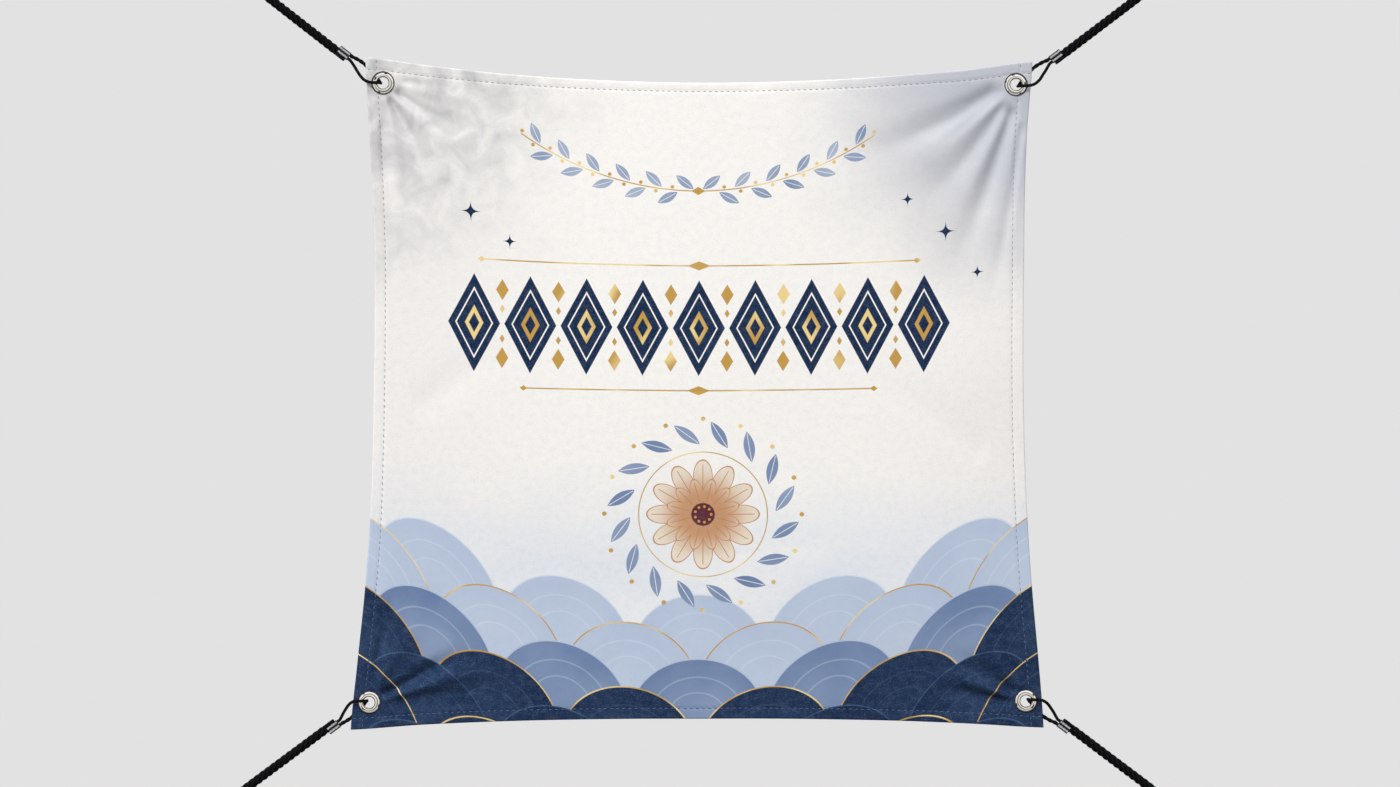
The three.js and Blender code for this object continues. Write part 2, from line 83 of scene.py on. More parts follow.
# Folds from the eyelets, as in the solids but begun nearer them, and softer at the upper right, in
# millimetres: x0, z0, x1, z1, bow sideways in the middle, half width at each end, depth of the trough
FOLDS = (
    (272.1, -2.7, 131.1, -69.6, 5.4, 5.6, 16, 3),
    (273.9, -9.9, 203.4, -69.6, 0, 2.7, 6.3, 1.4),
    (277.5, -15.4, 194.4, -119.3, 3.6, 4.2, 12.5, 2.7),
    (283.9, -19, 224.2, -182.6, 3.6, 4.4, 11.5, 3.5),
    (291.1, -33.4, 257.6, -223.3, 2.7, 3.6, 7.2, 1.6),
    (-273.9, 2.7, -207.9, -15.4, 0, 3.2, 7.2, 1.6),
    (-276.6, -5.4, -221.5, -56, 0, 3.2, 8.1, 2),
    (-282, -11.8, -257.6, -60.6, 0, 2.7, 5.4, 2.2),
    (-285.7, -13.6, -274.8, -223.3, 0, 3.6, 8.1, 1.5),
    (-288.4, -556, -207.9, -510.8, 0, 3.2, 7.2, 3),
    (-285.7, -559.6, -153.7, -543.3, 0, 3.6, 10.8, 1.8),
    (284.8, -552.3, 230.5, -512.6, 0, 3.6, 9.9, 3),
    (283, -561.4, 212.4, -543.3, 0, 3.2, 9, 2.6),
    (291.1, -546.9, 264, -483.6, 0, 3.2, 7.2, 1.6),
)
FOLD_RISE = 11 * MM  # length over which a fold deepens
FOLD_FADE = 0.65  # share of a fold over which it dies out

# Finer creases of the cloth alone, in the same columns: beside the folds, along the hems and across the
# slack middle. A negative depth is a ridge.
CREASES = (
    (283, -2, 135, -64, 6, 4, 14, 0.9),
    (282, -4, 160, -88, 5, 3, 10, -0.5),
    (285.5, -7, 232, -145, 2, 3, 8, 0.6),
    (288, -8, 262, -150, 1, 2.6, 7, 0.6),
    (-283, -2, -203, -30, 0, 2.4, 8, 1.4),
    (-283, -4, -203, -50, 0, 2.6, 8, 2),
    (-285, -6, -242, -88, 2, 2.6, 7, 2.4),
    (-284, -5, -220, -70, 1, 2.4, 7, -1.8),
    (-287, -6, -264, -110, 1, 2.4, 6, -1.4),
    (-296, -559, -195, -506, 2, 3, 9, 2.6),
    (-294, -560, -175, -529, 3, 3, 12, -2.8),
    (-297, -556, -248, -475, 2, 3.4, 13, -2.4),
    (-298.5, -554, -278, -450, 0, 2.6, 7, 1.6),
    (291.5, -556, 218, -506, 0, 3, 10, 2.4),
    (290.5, -558, 205, -529, 0, 2.8, 9, -2.2),
    (290.5, -560, 195, -544, 0, 2.8, 10, 2.6),
    (293.5, -554, 256, -470, 1, 3.4, 12, -2.4),
    (270, -14, 170, -100, 3, 3, 9, -0.6),
    (280, -25, 210, -150, 2, 3, 8, -0.5),
    (245, -19, 150, -56, 2, 3, 9, -0.6),
    (294, -45, 280, -170, -1, 2, 5, -0.6),
    (-269, 0, -170, -25, 1, 2.5, 8, -0.7),
    (-279, -11, -235, -80, 1, 2, 6, -0.9),
    (-288, -30, -286, -150, 0, 2, 5, 0.8),
    (-293, -540, -275, -450, 1, 2.5, 6, 0.9),
    (-282, -556, -180, -526, 2, 2.5, 7, -1.2),
    (-276, -564, -170, -561, 0, 2.5, 6, 0.8),
    (280, -556, 210, -526, 0, 2.5, 8, -1.4),
    (286, -548, 244, -490, 0, 2, 6, -0.9),
    (276, -566, 170, -566, 0, 2.5, 6, 0.7),
    (-150, 5, -90, -80, 4, 8, 16, -0.6),
    (50, -1, 120, -150, 6, 10, 20, -0.7),
    (-260, -300, -150, -230, 6, 12, 20, 0.7),
    (260, -340, 130, -250, -6, 12, 20, 0.7),
    (-130, -570, -60, -460, 5, 10, 18, -0.6),
    (90, -570, 30, -470, -5, 10, 18, 0.6),
)

# Broad swells of the slack cloth, in millimetres: middle (x, z), width, depth to the back
SWELLS = (
    (0, -250, 190, -2),
    (190, -60, 70, -1.6),
    (250, -260, 60, -1.4),
    (-210, -110, 80, -1.5),
    (-120, -480, 110, 1.4),
    (170, -470, 90, -1.3),
)

# Eyelets
CLOTH_HOLE_RADIUS = 6.4 * MM
HOLE_PULL = 0.9 * MM  # grid points this near to the hole's edge are moved onto it
PRESSED_RADIUS = 11.2 * MM  # the cloth lies flat to here, and its folds are whole beyond FREE_RADIUS
FREE_RADIUS = 16.5 * MM
FLANGE_RADIUS = 10.6 * MM

# Cords and ropes
CORD_DIAMETER = 2.8 * MM
ROPE_DIAMETER = 8.6 * MM
ROPE_STRANDS = 4
ROPE_LAY = 24 * MM
BARREL_RADIUS = 2.1 * MM
BARREL_OFFSET = 1.85 * MM
BARREL_BORE = 1.5 * MM
FERRULE_LENGTH = 11.4 * MM
GAP = 0.3 * MM
LOOP_LEAD = 2.4 * MM
LOOP_TUCK = 4.5 * MM  # length of a loop's end inside its barrel
TAIL_LENGTH = 10.6 * MM
TAIL_ASIDE = 4.9 * MM
TAIL_FORWARD = -2.3 * MM
ROPE_ASIDE = 2.5 * MM
ROPE_START = FERRULE_LENGTH / 2 + GAP
ROPE_LAP = 1.4 * MM  # how far the rope's end is pushed on over the ferrule
# The rope's end eye as millimetres along and aside from the end of its straight run
EYE_ROUTE = (
    (8, -0.8), (16, -3.5), (24, -7.6), (32, -11.2), (41, -12.7), (49.6, -10.3), (55.9, -4), (58.2, 4.6),
    (55.9, 13.2), (49.6, 19.5), (41, 21.9), (32, 20.4), (24, 16.8), (16, 12.7), (8, 10), (0, 9.2),
    (-8, 9.2), (-16, 9.2),
)
TAIL_SPACING = 9.2 * MM
SEIZING_LENGTH = 12 * MM
SEIZING_WALL = 1.2 * MM

# Corners, in millimetres and degrees: the eyelet's and the ferrule's middles as (x, z), the rope's
# direction, the side of the tail (1 left of that direction, -1 right), the rope's straight run, its hand
# (1 right-laid), the whole lengths of the rope and of the cord loop, and the loop's route.
CORNERS = {
    "top_left": {
        "eyelet": (-286.6, 0), "ferrule": (-321.9, 27.2), "direction": 142.1, "side": 1,
        "straight": 101, "hand": 1, "rope_length": 258, "loop_length": 95,
        "loop": (
            (-312.6, -1, 15.4), (-309.8, -1.9, 10.8), (-306.8, -2.8, 6.3), (-303.4, -3.6, 2.7),
            (-299.4, -4.3, 0.6), (-294.2, -4.6, 0), (-291.4, -3.9, 0), (-289.4, -1.9, 0),
            (-288.7, 0.9, 0), (-289.1, 3.6, 0.6), (-290.3, 5.7, 2.2), (-291.9, 6.4, 4.4),
            (-297, 6.1, 9.9), (-301.2, 5.2, 15.2), (-306.1, 3.7, 19.3), (-311, 1.9, 22.2),
        ),
    },
    "top_right": {
        "eyelet": (285.7, -1.4), "ferrule": (321.9, 24.2), "direction": 37.1, "side": -1,
        "straight": 105, "hand": -1, "rope_length": 262, "loop_length": 97,
        "loop": (
            (312.8, -1, 11.9), (309.7, -1.9, 7.1), (306.5, -2.8, 2.4), (302.7, -3.6, -0.9),
            (298.6, -4.3, -2.5), (293.3, -4.6, -2.9), (290.3, -3.9, -2.9), (288.2, -1.9, -2.9),
            (287.5, 0.9, -2.9), (287.9, 3.6, -2.3), (289.2, 5.7, -0.7), (291, 6.4, 1.5),
            (295.2, 6.1, 6.5), (299.5, 5.2, 11.9), (304.8, 3.7, 16.1), (310.3, 1.9, 19.1),
        ),
    },
    "bottom_left": {
        "eyelet": (-299.2, -560), "ferrule": (-331.5, -582.4), "direction": 216.5, "side": -1,
        "straight": 109, "hand": -1, "rope_length": 266, "loop_length": 87,
        "loop": (
            (-322.7, -1, -570.2), (-320, -1.9, -565.7), (-317, -2.8, -561.6), (-313.5, -3.7, -559),
            (-310.1, -4.4, -558.4), (-306.8, -4.6, -558.4), (-303.9, -3.9, -558.4),
            (-301.8, -1.9, -558.4), (-301, 0.9, -558.4), (-301.5, 3.6, -559), (-302.9, 5.7, -560.5),
            (-304.8, 6.4, -562.6), (-308.6, 6.1, -566.6), (-311.9, 5.2, -570.7), (-315.9, 3.7, -574.3),
            (-320.6, 1.9, -577.3),
        ),
    },
    "bottom_right": {
        "eyelet": (294.7, -558.7), "ferrule": (329.1, -581.9), "direction": 323.1, "side": 1,
        "straight": 108, "hand": 1, "rope_length": 265, "loop_length": 90,
        "loop": (
            (320, -1, -569.5), (316.9, -1.9, -564.7), (313.5, -2.8, -560.4), (309.5, -3.7, -557.9),
            (305.9, -4.4, -557.3), (302.3, -4.6, -557.2), (299.4, -3.9, -557.2), (297.2, -1.9, -557.2),
            (296.5, 0.9, -557.2), (297, 3.6, -557.8), (298.3, 5.7, -559.4), (300.3, 6.4, -561.5),
            (303.7, 6.1, -566.1), (307.7, 5.2, -570.3), (312.2, 3.7, -573.9), (317.5, 1.9, -576.8),
        ),
    },
}


# Mesh making

def grid_faces(rows, columns):
    """Corner numbers of the four-sided faces between neighbouring points of a grid, row by row."""
    corner = np.arange(rows * columns).reshape(rows, columns)
    around = (corner[:-1, :-1], corner[:-1, 1:], corner[1:, 1:], corner[1:, :-1])
    return np.stack(around, axis=-1).reshape(-1, 4)


def new_piece(name, points, faces, places=None):
    """A smooth closed mesh at the origin. places are map coordinates, one pair for each point.

    Points that coincide are welded, so a seam or a pole given twice is closed, and faces point outwards.
    """
    mesh = bpy.data.meshes.new(name)
    mesh.from_pydata(points.reshape(-1, 3), [], faces)
    if places is not None:
        layer = mesh.uv_layers.new(name="places")
        layer.uv.foreach_set("vector", places.reshape(-1, 2)[faces.ravel()].ravel())
    work = bmesh.new()
    work.from_mesh(mesh)
    bmesh.ops.remove_doubles(work, verts=work.verts, dist=1e-6)
    bmesh.ops.recalc_face_normals(work, faces=work.faces)
    work.to_mesh(mesh)
    work.free()
    mesh.shade_smooth()
    piece = bpy.data.objects.new(name, mesh)
    bpy.context.scene.collection.objects.link(piece)
    return piece


def several_grids(grids):
    """Points and faces of many grids of one size, [grid, row, column, xyz], as one mesh's arrays."""
    count, rows, columns, _ = grids.shape
    faces = grid_faces(rows, columns)
    shifts = np.arange(count)[:, None, None] * rows * columns
    return grids.reshape(-1, 3), (faces[None] + shifts).reshape(-1, 4)


def together(*parts):
    """Arrays of one coordinate each, stretched to one shape and joined along a last axis."""
    return np.stack(np.broadcast_arrays(*parts), axis=-1)


def settle(piece, slot, *nodes):
    """Makes a piece ride on the banner and stand for its solids, whose own meshes it hides. The slot is not
    used.
    """
    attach(piece, "root")
    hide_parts(*nodes)
    return piece


def unit(vectors):
    return vectors / np.linalg.norm(vectors, axis=-1, keepdims=True)


def smooth_path(points, spacing):
    """Points at even spacing on the centripetal Catmull-Rom curve through the given ones.

    Between two neighbours the curve is the cubic whose end slopes come from the points on both sides,
    each gap counting as the square root of its length.
    """
    points = np.asarray(points, float)
    p = np.vstack([2 * points[0] - points[1], points, 2 * points[-1] - points[-2]])
    gap = np.sqrt(np.linalg.norm(np.diff(p, axis=0), axis=1))[:, None]
    before, this, after = gap[:-2], gap[1:-1], gap[2:]
    p0, p1, p2, p3 = p[:-3], p[1:-2], p[2:-1], p[3:]
    leaving = this * ((p1 - p0) / before - (p2 - p0) / (before + this) + (p2 - p1) / this)
    arriving = this * ((p2 - p1) / this - (p3 - p1) / (this + after) + (p3 - p2) / after)
    t = np.linspace(0, 1, 40, endpoint=False)[:, None, None]
    square = 3 * (p2 - p1) - 2 * leaving - arriving
    cube = 2 * (p1 - p2) + leaving + arriving
    curve = (p1 + leaving * t + square * t**2 + cube * t**3).swapaxes(0, 1).reshape(-1, 3)
    curve = np.vstack([curve, points[-1]])
    reach = np.concatenate([[0], np.cumsum(np.linalg.norm(np.diff(curve, axis=0), axis=1))])
    even = np.linspace(0, reach[-1], round(reach[-1] / spacing) + 1)
    return np.stack([np.interp(even, reach, curve[:, axis]) for axis in range(3)], axis=1)


def path_frames(path, steady):
    """Two directions square to a path at each of its points.

    The first is the steady direction less its part along the path, which suits a path that never runs that
    way, and the second is square to it.
    """
    tangents = unit(np.gradient(path, axis=0))
    normals = unit(steady - tangents * (tangents @ steady)[:, None])
    return normals, np.cross(tangents, normals)


def path_reach(path):
    """Distance along a path at each of its points."""
    return np.concatenate([[0], np.cumsum(np.linalg.norm(np.diff(path, axis=0), axis=1))])


def rounded_ends(reach, rounding):
    """1 along a cord and down to 0 at its two ends, as a quarter ellipse of that length."""
    from_end = np.minimum(reach, reach[-1] - reach)
    return np.sqrt(np.clip(1 - (1 - from_end / rounding).clip(0) ** 2, 0, 1))


# A corner's own directions

class Corner:
    """out runs along the rope, aside towards the tail, and at() gives a point from the ferrule's middle."""

    def __init__(self, name, facts):
        self.name = name
        self.hand = facts["hand"]
        for fact in ("eyelet", "straight", "rope_length", "loop_length", "loop"):
            setattr(self, fact, np.array(facts[fact]) * MM)
        angle = math.radians(facts["direction"])
        self.out = np.array([math.cos(angle), 0, math.sin(angle)])
        self.aside = np.array([-math.sin(angle), 0, math.cos(angle)]) * facts["side"]
        self.middle = np.array([facts["ferrule"][0], 0, facts["ferrule"][1]]) * MM
        self.front = np.array([0.0, 1.0, 0.0])

    def at(self, along, across, y=0.0):
        """Points at those distances out and aside, and at y. Arrays give arrays."""
        along, across, y = (np.asarray(value)[..., None] for value in (along, across, y))
        return self.middle + along * self.out + across * self.aside + y * self.front


CORNER_LIST = [Corner(name, facts) for name, facts in CORNERS.items()]


# Camera, at the photograph's angle: straight on, its frame 1400 pixels wide on the banner

def make_camera():
    lens = bpy.data.cameras.new("camera")
    lens.lens = LENS
    lens.sensor_width = SENSOR
    camera = bpy.data.objects.new("camera", lens)
    distance = PICTURE_WIDTH * PIXEL * LENS / SENSOR
    camera.location = (0, -distance, VIEW_MIDDLE_Z)
    camera.rotation_euler = (math.pi / 2, 0, 0)
    bpy.context.scene.collection.objects.link(camera)
    bpy.context.scene.camera = camera


# Ropes and cords

ROPE_SPACING = 1.0 * MM
STRAND_SIDES = 12
STRAND_OFFSET = 2.25 * MM  # from the rope's middle line to a strand's
STRAND_DEPTH = 2.05 * MM  # half a strand's thickness, outwards from the rope's middle
STRAND_WIDTH = 2.0 * MM  # half a strand's width round the rope
ROPE_END, LOOP_END, TAIL_END = 1.6 * MM, 0.8 * MM, 0.9 * MM  # lengths over which the ends round off
CORD_SPACING = 0.5 * MM
CORD_SIDES = 16
BRAID_PITCH = 3.6 * MM
BRAID_RELIEF = 0.09  # share of the cord's radius
BRAID_PLAITS = 4
KNOT_PITCH = 5.2 * MM  # between the soft lumps of a loop's back strand
KNOT_RELIEF = 0.32  # share of the cord's radius
KNOTS_FROM = 0.55  # share of a loop's length


def twisted_rope(name, path, hand, steady):
    """Four strands twisted round a path.

    Strand k at distance s lies at the angle hand * 2 pi s / lay + k * quarter turn round the path. Its
    section is an ellipse: outwards offset + depth * cos(a), sideways width * sin(a), both shrinking to
    nothing at the rope's two ends.
    """
    reach = path_reach(path)
    normals, sideways = path_frames(path, steady)
    strand = np.arange(ROPE_STRANDS)[:, None, None]
    turn = (hand * 2 * np.pi * reach / ROPE_LAY)[None, :, None] + strand * (2 * np.pi / ROPE_STRANDS)
    around = np.linspace(0, 2 * np.pi, STRAND_SIDES + 1)[None, None, :]
    size = rounded_ends(reach, ROPE_END)[None, :, None]
    outwards = STRAND_OFFSET * size**0.5 + STRAND_DEPTH * size * np.cos(around)
    across = STRAND_WIDTH * size * np.sin(around)
    n = outwards * np.cos(turn) - across * np.sin(turn)
    b = outwards * np.sin(turn) + across * np.cos(turn)
    points = path[:, None] + n[..., None] * normals[:, None] + b[..., None] * sideways[:, None]
    return new_piece(name, *several_grids(points), together(around, turn) / (2 * np.pi))


def braided_cord(name, path, rounding, steady, lumpy_from=1.0):
    """A round cord with a braid's lumps: radius r (1 + relief * cos(n a + k s) * cos(n a - k s)).

    Past the share lumpy_from of its length it also swells by knot relief * (0.6 + 0.4 cos(k s)).
    """
    reach = path_reach(path)[:, None]
    normals, sideways = path_frames(path, steady)
    around = np.linspace(0, 2 * np.pi, CORD_SIDES + 1)[None, :]
    phase = 2 * np.pi * reach / BRAID_PITCH
    lumps = np.cos(BRAID_PLAITS * around + phase) * np.cos(BRAID_PLAITS * around - phase)
    swollen = smooth_step((reach / reach[-1] - lumpy_from) / 0.08)
    knots = KNOT_RELIEF * swollen * (0.6 + 0.4 * np.cos(2 * np.pi * reach / KNOT_PITCH))
    radius = CORD_DIAMETER / 2 * (0.96 + BRAID_RELIEF * lumps + knots)
    radius = radius * rounded_ends(reach[:, 0], rounding)[:, None]
    ring = np.cos(around)[..., None] * normals[:, None] + np.sin(around)[..., None] * sideways[:, None]
    points = path[:, None] + radius[..., None] * ring
    places = together(around / (2 * np.pi), reach / BRAID_PITCH)
    return new_piece(name, points, grid_faces(*points.shape[:2]), places)


def rope_path(corner):
    """Straight out from the ferrule, round the end eye, and back beside the straight run."""
    straight = corner.straight * np.array([(share, 0) for share in (0.25, 0.5, 0.75, 1)])
    eye = np.array(EYE_ROUTE) * MM + [corner.straight, 0]
    along, across = np.vstack([(-ROPE_LAP, 0), straight, eye]).T
    return smooth_path(corner.at(ROPE_START + along, ROPE_ASIDE - across), ROPE_SPACING)


def loop_path(corner):
    """From inside one barrel, through the eyelet from the front, and back behind the cloth into the other."""
    face = FERRULE_LENGTH / 2 + GAP
    leads = np.array([face - LOOP_TUCK, face, face + LOOP_LEAD])
    front = corner.at(-leads, BARREL_OFFSET)
    back = corner.at(-leads[::-1], -BARREL_OFFSET)
    return smooth_path(np.vstack([front, corner.loop, back]), CORD_SPACING)


def make_cords(corner):
    """The corner's rope and cord loop."""
    rope = twisted_rope(f"twisted_rope_{corner.name}", rope_path(corner), corner.hand, corner.front)
    settle(rope, "cord", f"rope_{corner.name}")
    loop = braided_cord(f"cord_loop_{corner.name}", loop_path(corner), LOOP_END, corner.aside, KNOTS_FROM)
    settle(loop, "cord", f"loop_{corner.name}")
    return rope, loop


def declare_cords(corner, rope, loop, clamp, tail, seizing):
    path = rope_path(corner)
    path = loop_path(corner)


# Ferrules, tails and seizings

FERRULE_BEVEL = 0.35 * MM
CRIMPS = (-3.1 * MM, 0, 3.1 * MM)  # pressed waists along a ferrule
CRIMP_DEPTH = 0.14 * MM
CRIMP_WIDTH = 0.8 * MM
BARREL_SIDES = 28
WALL_POINTS = 41
TAIL_POINTS = 24
TAIL_SAG = 0.25 * MM
SEIZING_TURNS = 9
SEIZING_SIDES = 60
SEIZING_CURL = 0.5 * MM  # length over which its ends curl in


def ferrule_clamp(corner):
    """Two barrels side by side with a bore through each, pressed in at three places.

    One barrel is a closed profile (radius, along) at every angle round its bore: bore, end face, bevel and
    outer wall. The wall is the barrel's radius less the crimps, cut off at the plane between the barrels.
    Mirrored, it gives the other barrel, and the two join on that plane.
    """
    half = FERRULE_LENGTH / 2
    wall = np.linspace(-half + FERRULE_BEVEL, half - FERRULE_BEVEL, WALL_POINTS)
    ends = [(-half + FERRULE_BEVEL, 0, 0), (-half, 0, FERRULE_BEVEL), (-half, 1, FERRULE_BEVEL)]
    along = np.array([a for a, _, _ in ends] + list(wall) + [-a for a, _, _ in ends[::-1]] + [ends[0][0]])
    outer = np.array([share for _, share, _ in ends] + [1] * len(wall) + [1, 0, 0, 0])
    bevel = np.array([0, 1, -1] + [0] * len(wall) + [-1, 1, 0, 0]) * FERRULE_BEVEL
    pressed = sum(np.exp(-(((along - crimp) / CRIMP_WIDTH) ** 2)) for crimp in CRIMPS) * CRIMP_DEPTH
    angle = np.linspace(0, 2 * np.pi, BARREL_SIDES + 1)[:, None]
    inward = -np.cos(angle)
    cut = BARREL_OFFSET / inward.clip(1e-6)
    round_wall = BARREL_RADIUS - pressed[None, :]
    is_cut = cut < round_wall
    wall_radius = np.where(is_cut, cut, round_wall + np.where(bevel < 0, bevel, 0))
    radius = np.where(outer[None, :] > 0, wall_radius, BARREL_BORE + np.where(bevel > 0, bevel, 0))
    across = BARREL_OFFSET + radius * np.cos(angle)
    y = radius * np.sin(angle)
    barrels = np.stack([corner.at(along[None, :], side * across, y) for side in (1, -1)])
    points, faces = several_grids(barrels)
    middles = np.abs(np.stack([across, across])).reshape(-1)[faces]
    shared = (middles < 1e-6).all(axis=1)
    # map across and along the barrels, which places the painted shade at the groove and the ends
    painted_shade = together(across / (2 * BARREL_OFFSET), along / FERRULE_LENGTH)
    clamp = new_piece(f"ferrule_clamp_{corner.name}", points, faces[~shared], np.stack([painted_shade, painted_shade]))
    return settle(clamp, "ferrule_metal", f"ferrule_{corner.name}")


def cord_tail(corner):
    """A short cut end of the loop's cord, from the ferrule's rope end back along the barrel."""
    start, end = FERRULE_LENGTH / 2, FERRULE_LENGTH / 2 - TAIL_LENGTH
    along = np.linspace(start, end, TAIL_POINTS)
    sag = TAIL_SAG * np.sin(np.linspace(0, np.pi, TAIL_POINTS))
    path = corner.at(along, TAIL_ASIDE + sag * 0.5, TAIL_FORWARD + sag)
    tail = braided_cord(f"cord_end_{corner.name}", path, TAIL_END, corner.aside)
    return settle(tail, "cord", f"tail_{corner.name}")


def oval(share, radius):
    """Points (across, y) round two half circles joined by straights, share running from 0 to 1."""
    straight, bend = TAIL_SPACING, np.pi * radius
    walked = (share % 1) * 2 * (straight + bend)
    turn = np.clip(walked / radius, 0, np.pi)
    back = np.clip((walked - bend - straight) / radius, 0, np.pi)
    first = np.clip(walked - bend, 0, straight)
    second = np.clip(walked - 2 * bend - straight, 0, straight)
    angle = turn + back
    across = -radius * np.sin(angle) + first - second
    y = radius * np.cos(angle)
    return across, y


def seizing_wrap(corner):
    """Twine wound round both runs of rope: an oval sleeve whose outside is a row of round turns.

    The wall at share a round and distance s along is wall * (0.45 + 0.55 |sin(pi (s / pitch - a))|),
    so the turns climb by one pitch each time round. Its two ends curl in to the rope.
    """
    along = np.linspace(0, SEIZING_LENGTH, SEIZING_TURNS * 8 + 1)[:, None]
    share = np.linspace(0, 1, SEIZING_SIDES + 1)[None, :]
    pitch = SEIZING_LENGTH / SEIZING_TURNS
    wall = SEIZING_WALL * (0.45 + 0.55 * np.abs(np.sin(np.pi * (along / pitch - share))))
    inside = ROPE_DIAMETER / 2 + GAP
    curl = np.minimum(along, SEIZING_LENGTH - along) / SEIZING_CURL
    outer = inside + wall * np.sqrt(np.clip(curl, 0, 1))
    radius = np.vstack([outer, np.full(outer.shape, inside), outer[:1]])
    along = np.vstack([along, along[::-1], along[:1]])
    across, y = oval(share, radius)
    start = ROPE_START + corner.straight - SEIZING_LENGTH
    points = corner.at(start + along, ROPE_ASIDE - across, y)
    wrap = new_piece(f"twine_seizing_{corner.name}", points, grid_faces(*points.shape[:2]))
    return settle(wrap, "cord", f"seizing_{corner.name}")


# Cloth

def drawn_in(share, depths):
    """Catmull-Rom through depths given at even shares of an edge, the end values repeated beyond it."""
    padded = np.concatenate([depths[:1], depths, depths[-1:]])
    place = np.clip(share, 0, 1) * (len(depths) - 1)
    cell = np.minimum(place.astype(int), len(depths) - 2)
    t = place - cell
    a, b, c, d = (padded[cell + k] for k in range(4))
    leaving, arriving = (c - a) / 2, (d - b) / 2
    return b + leaving * t + (3 * (c - b) - 2 * leaving - arriving) * t**2 + (
        2 * (b - c) + leaving + arriving) * t**3


def edge_point(edge, share):
    """An edge's point (x, z) at a share of its way: along the straight line between its two corners, and
    square to it by how far the edge is drawn in there."""
    ends = {"top": ("top_left", "top_right", -1), "bottom": ("bottom_left", "bottom_right", 1),
            "left": ("top_left", "bottom_left", 1), "right": ("top_right", "bottom_right", -1)}
    first, last, inward = ends[edge]
    start, end = np.array(CLOTH_CORNERS[first]), np.array(CLOTH_CORNERS[last])
    along = end - start
    square = np.array([-along[1], along[0]]) / np.hypot(*along) * inward
    depths = np.array(EDGE_DRAWN_IN[edge]) * MM
    return start + share[..., None] * along + drawn_in(share, depths)[..., None] * square


def cloth_point(u, v):
    """The cloth's point (x, z) at shares u across and v down: the Coons patch of its four edges, which is
    the top-bottom blend plus the left-right blend less the blend of the four corners."""
    u, v = np.broadcast_arrays(np.asarray(u, float), np.asarray(v, float))
    blend = (1 - v)[..., None] * edge_point("top", u) + v[..., None] * edge_point("bottom", u)
    blend = blend + (1 - u)[..., None] * edge_point("left", v) + u[..., None] * edge_point("right", v)
    for name, weight in (("top_left", (1 - u) * (1 - v)), ("top_right", u * (1 - v)),
                         ("bottom_left", (1 - u) * v), ("bottom_right", u * v)):
        blend = blend - weight[..., None] * np.array(CLOTH_CORNERS[name])
    return blend[..., 0], blend[..., 1]


def smooth_step(share):
    share = np.clip(share, 0, 1)
    return share * share * (3 - 2 * share)


def fold_depth(row, x, z):
    """A rounded trough along a bowed line: its depth times exp(-(distance aside / half width) squared),
    deepening over its first part and dying out over its last."""
    x0, z0, x1, z1, bow, wide0, wide1, deep = np.array(row) * MM
    dx, dz = x1 - x0, z1 - z0
    length = math.hypot(dx, dz)
    share = ((x - x0) * dx + (z - z0) * dz) / length**2
    sideways = ((z - z0) * dx - (x - x0) * dz) / length
    inside = np.clip(share, 0, 1)
    off = sideways - bow * 4 * inside * (1 - inside)
    half_width = wide0 + (wide1 - wide0) * inside
    strength = smooth_step(share * length / FOLD_RISE) * smooth_step((1 - share) / FOLD_FADE)
    return deep * strength * np.exp(-((off / half_width) ** 2))


def eyelet_distance(x, z):
    """Distance from (x, z) to the nearest eyelet's middle."""
    return np.min([np.hypot(x - corner.eyelet[0], z - corner.eyelet[1]) for corner in CORNER_LIST], axis=0)


def cloth_depth(x, z):
    """The hanging cloth's depth to the back: folds, creases and swells, pressed flat round each eyelet."""
    depth = sum(fold_depth(row, x, z) for row in FOLDS + CREASES)
    for middle_x, middle_z, wide, deep in np.array(SWELLS) * MM:
        depth = depth + deep * np.exp(-((x - middle_x) ** 2 + (z - middle_z) ** 2) / wide**2)
    free = smooth_step((eyelet_distance(x, z) - PRESSED_RADIUS) / (FREE_RADIUS - PRESSED_RADIUS))
    return depth * free


def stitch_inset(edge, share):
    """How far a hem's stitch line lies inside its edge."""
    middle, end = STITCH_INSET[edge]
    return middle + (end - middle) * (2 * share - 1) ** 2


def line_shares():
    """Shares of the way across at which the cloth's grid lines lie: the hem's lines, then cells that
    widen evenly to the middle, and the same mirrored."""
    hem = np.array(HEM_LINES) * MM
    room = CLOTH_SIDE / 2 - hem[-1]
    steps = np.arange(1, INSIDE_CELLS + 1)
    growth = (room - INSIDE_CELLS * FINEST_CELL) / (steps - 1).sum()
    inside = hem[-1] + np.cumsum(FINEST_CELL + growth * (steps - 1))
    half = np.concatenate([hem, inside]) / CLOTH_SIDE
    half[-1] = 0.5
    return np.concatenate([half, 1 - half[-2::-1]])


